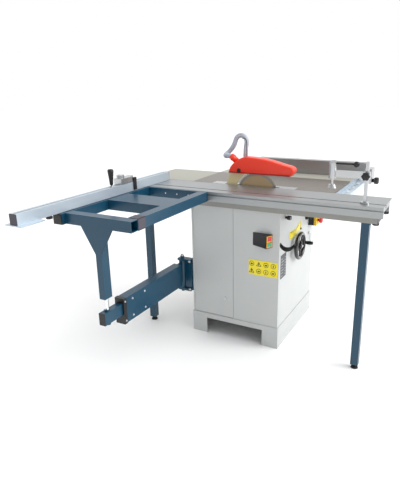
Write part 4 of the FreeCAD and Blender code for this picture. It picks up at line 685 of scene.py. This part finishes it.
OUTLET_WAY = Vector((0, 19, 15))
collar = turned("outlet", "z", (0, 0), [(13, -30), (17, -30), (17, 4), (18.5, 5), (18.5, 12), (17.2, 13),
                                        (17.2, 24), (15.2, 25), (15.2, 4), (13, 3)])
piece("guard_outlet", moved(collar, (-66, 102, 993), OUTLET_WAY), guard_abs, "guard")
pivot_parts = []
for x, way in ((-96, -1), (-36, 1)):
    pivot_parts.append(turned("bolt", "x", (60, 934), [
        (0, x), (12, x), (12, x + way * 1.5), (9, x + way * 1.6), (8.4, x + way * 5), (6, x + way * 6),
        (6, x + way * 4), (0, x + way * 4)], 24))
piece("guard_bolt", joined("guard_bolt", *pivot_parts), black_nylon, "guard")

# %% [markdown]
# ## Knobs, lever and handles
# Every hand knob is a soft six-lobed moulding with a crowned top. The push handle is a tapered
# grip on a bright pin, and the clamp's lever ends in a ball.

# %% Knobs and handles
knobs = {
    "clamp_star_knob": ("x", (-662, 980), 20, -276.5, -294, "clamp_knob_body", "clamp_knob"),
    "rip_star_knob": ("y", (466, 828), 21, -563.5, -599, "rip_knob", "rip_fence_knob"),
    "fence_star_knob": ("z", (-1047, 536), 15.7, 850, 833, "fence_knob", "fence_lock_knob"),
}
for name, (axis, centre, radius, low, high, body, node) in knobs.items():
    piece(name, lobed(name, axis, centre, radius, low, high), black_nylon, body,
          replaces=[node])

HANDLE_AT = (-614, 536)
grip_profile = [(0, 908), (8, 908), (9, 910), (10, 925), (12.5, 950), (15, 972), (15.6, 979), (14.6, 985),
                (11, 988), (0, 988.6)]
piece("push_grip", turned("push_grip", "z", HANDLE_AT, grip_profile), black_nylon, "fence",
      replaces=["push_handle"])
pin_profile = [(0, 898), (7, 898), (7, 902), (4, 903), (4, 909), (0, 909)]
piece("push_pin", turned("push_pin", "z", HANDLE_AT, pin_profile, 24), zinc_steel, "fence")

LEVER_Y, LEVER_Z, LEVER_X = -612, 1028, -257
lever_profile = ball(14, LEVER_Y)[:-1] + [(4.5, LEVER_Y + 13.4), (4, LEVER_Y + 30), (4.6, -515), (0, -510)]
hub = turned("hub", "x", (-503, LEVER_Z), [(0, -261), (8.6, -261), (9.6, -260), (9.6, -254), (8.6, -253),
                                           (0, -253)], 28)
piece("ball_lever", joined("ball_lever", turned("arm", "y", (LEVER_X, LEVER_Z), lever_profile, 28), hub),
      black_nylon, "clamp_lever_body", replaces=["clamp_lever"])

# %% [markdown]
# ## Handwheel
# A thick glossy rim, five flat spokes that taper outwards from a domed hub, and a turning grip.

# %% Handwheel
WHEEL_X, WHEEL_Y, WHEEL_Z = -30, -288, 524
RIM_RADIUS, RIM_THICK = 69, 11
gloss_black = finish("glossy_black_bakelite", "#0E0E10", 0.16, coat=0.6, grain=2, bump=0.02, spread=0.1)
rim_profile = [(RIM_RADIUS + RIM_THICK * math.cos(math.tau * step / 20),
                WHEEL_Y + RIM_THICK * math.sin(math.tau * step / 20)) for step in range(21)]
spokes = []
for spoke in range(5):
    turn = math.radians(72 * spoke + 54)
    out, side = Vector((math.cos(turn), math.sin(turn))), Vector((-math.sin(turn), math.cos(turn)))
    line = [out * 12 - side * 8, out * 68 - side * 5.5, out * 68 + side * 5.5, out * 12 + side * 8]
    outline = [(WHEEL_X + p.x, WHEEL_Z + p.y) for p in line]
    spokes.append(prism("spoke", "y", outline, WHEEL_Y - 3.5, WHEEL_Y + 3.5))
hub = turned("hub", "y", (WHEEL_X, WHEEL_Z), [(0, -303), (10, -302), (15, -299), (17, -295), (17, -277),
                                              (14, -275), (8, -275), (8, 22), (0, 22)])
GRIP_X, GRIP_Z = WHEEL_X + RIM_RADIUS, WHEEL_Z
stem = turned("stem", "y", (GRIP_X, GRIP_Z), [(0, -290), (4, -290), (4, -343.4), (0, -343.4)], 20)
wheel_rim = turned("rim", "y", (WHEEL_X, WHEEL_Z), rim_profile, 72)
piece("spoked_wheel", joined("spoked_wheel", wheel_rim, *spokes, hub), gloss_black, "wheel",
      replaces=["handwheel"])
piece("grip_spindle", stem, zinc_steel, "wheel")
grip_profile = [(4.2, -299.6), (8, -300), (9.2, -303), (10.4, -312), (10.8, -322), (9.8, -332), (8.4, -338),
                (6.5, -341.5), (4.2, -342.9), (4.2, -299.6)]
piece("wheel_grip", turned("wheel_grip", "y", (GRIP_X, GRIP_Z), grip_profile, 28), black_nylon,
      "wheel_grip", replaces=["handwheel_grip"])
cap = turned("cap", "y", (WHEEL_X, WHEEL_Z), [(0, -305), (6, -304.6), (7.5, -303), (7.5, -301), (0, -301)], 24)
piece("wheel_cap", cap, zinc_steel, "wheel")

# %% [markdown]
# ## Front of the cabinet
# A yellow sector with degree marks stands behind the shaft of the handwheel, above a dark slot,
# with a pointer at its right end that is fixed to the cabinet. Beside it are a plain data plate,
# a wire hook for the push stick and a small rubber stop. No plate carries any wording.

# %% Tilt scale, plates and hook
FRONT = -260
TILT_X, TILT_Z = -66, 850
scale_yellow = finish("yellow_scale_plate", "#EFDC1A", 0.35, coat=0.2, bump=0.01, spread=0.02)
ink = finish("black_print", "#161616", 0.5, bump=0.01, spread=0.05)
SCALE_OUT, SCALE_IN, SCALE_START, SCALE_END = 272, 228, -90 - 16, -90 + 29
sector = (circle((TILT_X, TILT_Z), SCALE_OUT, SCALE_START, SCALE_END, 30)
          + circle((TILT_X, TILT_Z), SCALE_IN, SCALE_END, SCALE_START, 30))
piece("tilt_scale", prism("tilt_scale", "y", sector, FRONT - 0.8, FRONT - 0.02), scale_yellow, "cabinet",
      smooth=False)
marks = []
for degree in range(-15, 29):
    turn = math.radians(-90 + degree)
    long = 14 if degree % 5 == 0 else 8
    out, side = Vector((math.cos(turn), math.sin(turn))), Vector((-math.sin(turn), math.cos(turn)))
    base = Vector((TILT_X, TILT_Z)) + out * (231 + long)
    wide = 0.8 if degree % 5 == 0 else 0.45
    top = base - out * long
    line = [base - side * wide, base + side * wide, top + side * wide, top - side * wide]
    marks.append(prism("mark", "y", [tuple(p) for p in line], FRONT - 1.0, FRONT - 0.7))
piece("scale_marks", joined("scale_marks", *marks), ink, "cabinet", smooth=False)

POINTER_REACH, POINTER_TURN = 262, math.radians(27)
scale_x = TILT_X + POINTER_REACH * math.sin(POINTER_TURN)
scale_z = TILT_Z - POINTER_REACH * math.cos(POINTER_TURN)
pointer = [(scale_x - 3, scale_z - 22), (scale_x + 3, scale_z - 22), (scale_x + 1, scale_z + 16),
           (scale_x - 1, scale_z + 16)]
piece("scale_pointer", prism("scale_pointer", "y", pointer, FRONT - 3, FRONT - 1), zinc_steel, "cabinet",
      smooth=False)
piece("pointer_screw", turned("pointer_screw", "y", (scale_x, scale_z - 18),
                              [(0, FRONT), (6, FRONT), (6, FRONT - 4), (4.5, FRONT - 6), (0, FRONT - 6)], 20),
      black_nylon, "cabinet")

plate_grey = finish("dark_grey_data_plate", "#3E3F43", 0.42, grain=0.8, bump=0.03, spread=0.05)
piece("data_plate", boxed("data_plate", (-262, -180), (FRONT - 1.0, FRONT - 0.02), (398, 530)), plate_grey,
      "cabinet", smooth=False)
rows = []
for row in range(7):
    low = 409 + row * 16
    rows.append(boxed("row", (-254, -232 + 9 * (row % 3)), (FRONT - 1.25, FRONT - 0.9), (low, low + 5)))
    rows.append(boxed("row", (-202, -188), (FRONT - 1.25, FRONT - 0.9), (low, low + 5)))
print_grey = finish("pale_grey_print", "#9C9DA0", 0.5, bump=0.01)
piece("data_plate_rows", joined("data_plate_rows", *rows), print_grey, "cabinet", smooth=False)

hook = tube_along("stick_hook", [(214, FRONT + 1, 530), (214, FRONT - 8, 530), (214, FRONT - 9, 500),
                                 (232, FRONT - 9, 452), (262, FRONT - 9, 447), (280, FRONT - 12, 470)], 2.5)
piece("stick_hook", hook, zinc_steel, "cabinet")
screw_profile = [(0, FRONT), (9, FRONT), (9, FRONT - 2), (7, FRONT - 9), (0, FRONT - 10.5)]
piece("stick_hook_screw", turned("screw", "y", (214, 530), screw_profile, 24), zinc_steel, "cabinet")
bumper_profile = [(0, FRONT), (14, FRONT), (14, FRONT - 10), (11, FRONT - 14), (0, FRONT - 14)]
piece("door_bumper", turned("bumper", "y", (145, 644), bumper_profile, 28), black_rubber, "cabinet")

# %% [markdown]
# ## Left side of the cabinet
# A yellow notice plate carries eight plain ring and triangle signs with bars, and no wording. The
# switch has a yellow face plate on its black wedge, which frames a red and a green button.

# %% Notice plate and switch face
LEFT = -288
notice = boxed("notice_plate", (LEFT - 0.9, LEFT - 0.02), (-255, -89), (413, 498))
piece("notice_plate", notice, scale_yellow, "cabinet", smooth=False)
signs = []
for row, sign_z in enumerate((476, 436)):
    for column in range(4):
        sign_y = -107 - column * 41
        if (row + column) % 4 == 1:
            outer_line = [(sign_y - 15, sign_z - 12), (sign_y + 15, sign_z - 12), (sign_y, sign_z + 14)]
            inner_line = [(sign_y + (y - sign_y) * 0.72, sign_z - 1 + (z - sign_z) * 0.66)
                          for y, z in outer_line]
        else:
            outer_line = circle((sign_y, sign_z), 14)
            inner_line = circle((sign_y, sign_z), 11.6)
        ring_grid = bmesh.new()
        sign_rings = [[ring_grid.verts.new(placed("x", y, z, x)) for y, z in line] for line, x in (
            (outer_line, LEFT - 0.85), (outer_line, LEFT - 1.15),
            (inner_line, LEFT - 1.15), (inner_line, LEFT - 0.85))]
        for near, far in zip(sign_rings, sign_rings[1:] + sign_rings[:1]):
            for a in range(len(near)):
                b = (a + 1) % len(near)
                ring_grid.faces.new((near[a], near[b], far[b], far[a]))
        signs.append(closed(ring_grid, "sign"))
        half, low, high = (6, -5, 3) if column % 2 == row else (2.5, -7, 6)
        signs.append(boxed("bar", (LEFT - 1.15, LEFT - 0.85), (sign_y - half, sign_y + half),
                           (sign_z + low, sign_z + high)))
piece("notice_signs", joined("notice_signs", *signs), ink, "cabinet", smooth=False)

SWITCH_OUT = Vector((-0.447214, -0.894427, 0))
SWITCH_ALONG = Vector((0.894427, -0.447214, 0))
SWITCH_FACE = Vector((-307, -211.5, 0))


def on_switch(name, along, tall, low, high):
    """A block on the slanted face of the switch: spans along it, in height and outwards."""
    grid = bmesh.new()
    near, far = [], []
    for group, out in ((near, low), (far, high)):
        for a, z in ((along[0], tall[0]), (along[1], tall[0]), (along[1], tall[1]), (along[0], tall[1])):
            spot = SWITCH_FACE + SWITCH_ALONG * a + SWITCH_OUT * out
            group.append(grid.verts.new((spot.x * MM, spot.y * MM, z * MM)))
    grid.faces.new(near)
    grid.faces.new(far[::-1])
    for a in range(4):
        b = (a + 1) % 4
        grid.faces.new((near[a], near[b], far[b], far[a]))
    return closed(grid, name)


face_yellow = finish("yellow_switch_plate", "#F0A81E", 0.35, coat=0.2, bump=0.01, spread=0.02)
face_bars = (((-18.5, -12.5), (584, 646)), ((12.5, 18.5), (584, 646)), ((-12.5, 12.5), (584, 589)),
             ((-12.5, 12.5), (611, 619)), ((-12.5, 12.5), (641, 646)))
face = joined("switch_face", *[on_switch("bar", along, tall, 0, 2.4) for along, tall in face_bars])
round_edges(piece("switch_face", face, face_yellow, "cabinet", smooth=False), 0.5, 2)
for name, body, tall, material, slot, node in (
        ("stop_key", "stop", (619.6, 640.4), button_red, "red_button", "stop_button"),
        ("start_key", "start", (589.6, 610.4), button_green, "green_button", "start_button")):
    key = piece(name, on_switch(name, (-11.8, 11.8), tall, -2.5, 4.6), material, body, smooth=False,
                replaces=[node])
    round_edges(key, 1.2, 3)
mushroom = turned("mushroom", "y", (231, 611), [(0, -279), (7.5, -279), (7.5, -318), (14, -319), (16.8, -323),
                                                (17, -330), (15, -335), (10, -337.5), (0, -338)], 36)
piece("mushroom_head", mushroom, mushroom_red, "emergency", replaces=["emergency_button"])

# %% [markdown]
# ## Sliding table, beam and front
# Thin black plates close the ends of the beam, and two black star knobs hang under its front end.
# Zinc screws sit where the swing arm, the crossbars and the hinge bracket are bolted, and black
# caps close the ends of the tubes and of the fence.

# %% End pieces, knobs under the table and screws
for name, centre, top, body in (("carriage_lock_knob", (-118, -738), 798, "carriage"),
                                ("beam_lock_knob", (-240, -716), 768, "cabinet")):
    piece(name, lobed(name, "z", centre, 17, top, top - 22), black_nylon, body)
end_plates = [boxed("cap", (-300, -182), (y, y + 1.5), (769, 797)) for y in (-734.6, 607)]
round_edges(piece("beam_end_plates", joined("beam_end_plates", *end_plates), cap_plastic, "cabinet",
                  smooth=False), 0.4, 2)


def screws(name, places, radius, body, way):
    """Hexagon socket heads on their washers: each place is (axis, across, level) in millimetres."""
    heads = []
    for axis, across, level in places:
        heads.append(turned("head", axis, across, [
            (0, level), (radius * 1.5, level), (radius * 1.5, level + way * 1.2), (radius, level + way * 1.3),
            (radius, level + way * radius * 0.9), (radius * 0.85, level + way * radius * 1.05),
            (radius * 0.5, level + way * radius * 1.05), (radius * 0.5, level + way * radius * 0.5),
            (0, level + way * radius * 0.5)], 20))
    return piece(name, joined(name, *heads), zinc_steel, body)


screws("arm_screws", [("y", (x, z), 303) for x in (-800, -700) for z in (310, 398)], 4, "swing_arm", -1)
screws("guide_screws", [("y", (-860, z), 301) for z in (304, 404)], 3.5, "swing_arm", -1)
screws("crossbar_screws", [("x", (y, 824), -337) for y in (247, 320, 393)], 3, "carriage", -1)
screws("hinge_bolts_top", [("z", (-292, 328), 455)], 8, "cabinet", 1)
screws("bracket_screws", [("x", (270, z), -312) for z in (262, 432)], 5, "cabinet", -1)

SLEEVE_X, SLEEVE_Y, SLEEVE_Z, SLEEVE_WALL = (-934, -882), (135.6, 188.4), (797.6, 850.4), 1.6
sleeve_parts = [
    boxed("front", SLEEVE_X, (SLEEVE_Y[0], SLEEVE_Y[0] + SLEEVE_WALL), SLEEVE_Z),
    boxed("back", SLEEVE_X, (SLEEVE_Y[1] - SLEEVE_WALL, SLEEVE_Y[1]), SLEEVE_Z),
    boxed("top", SLEEVE_X, SLEEVE_Y, (SLEEVE_Z[1] - SLEEVE_WALL, SLEEVE_Z[1])),
    boxed("bottom", SLEEVE_X, SLEEVE_Y, (SLEEVE_Z[0], SLEEVE_Z[0] + SLEEVE_WALL)),
]
piece("corner_sleeve", joined("corner_sleeve", *sleeve_parts), cap_plastic, "carriage", smooth=False)
fence_caps = joined("caps", boxed("left", (-1238, -1234.8), (515.5, 556.5), (851.5, 898.5)),
                    boxed("right", (-110.2, -106), (515.5, 556.5), (857, 898.5)))
for name, mesh, material, body, rounding in (
        ("rear_tube_cap", boxed("cap", (-1013, -1006.8), (502, 550), (800, 848)), black_nylon, "carriage", 1.5),
        ("inner_arm_cap", boxed("cap", (-1001, -996.8), (311, 345), (335, 395)), black_nylon, "swing_inner", 1.2),
        ("fence_end_caps", fence_caps, cap_plastic, "fence", 0.8)):
    round_edges(piece(name, mesh, material, body, smooth=False), rounding)
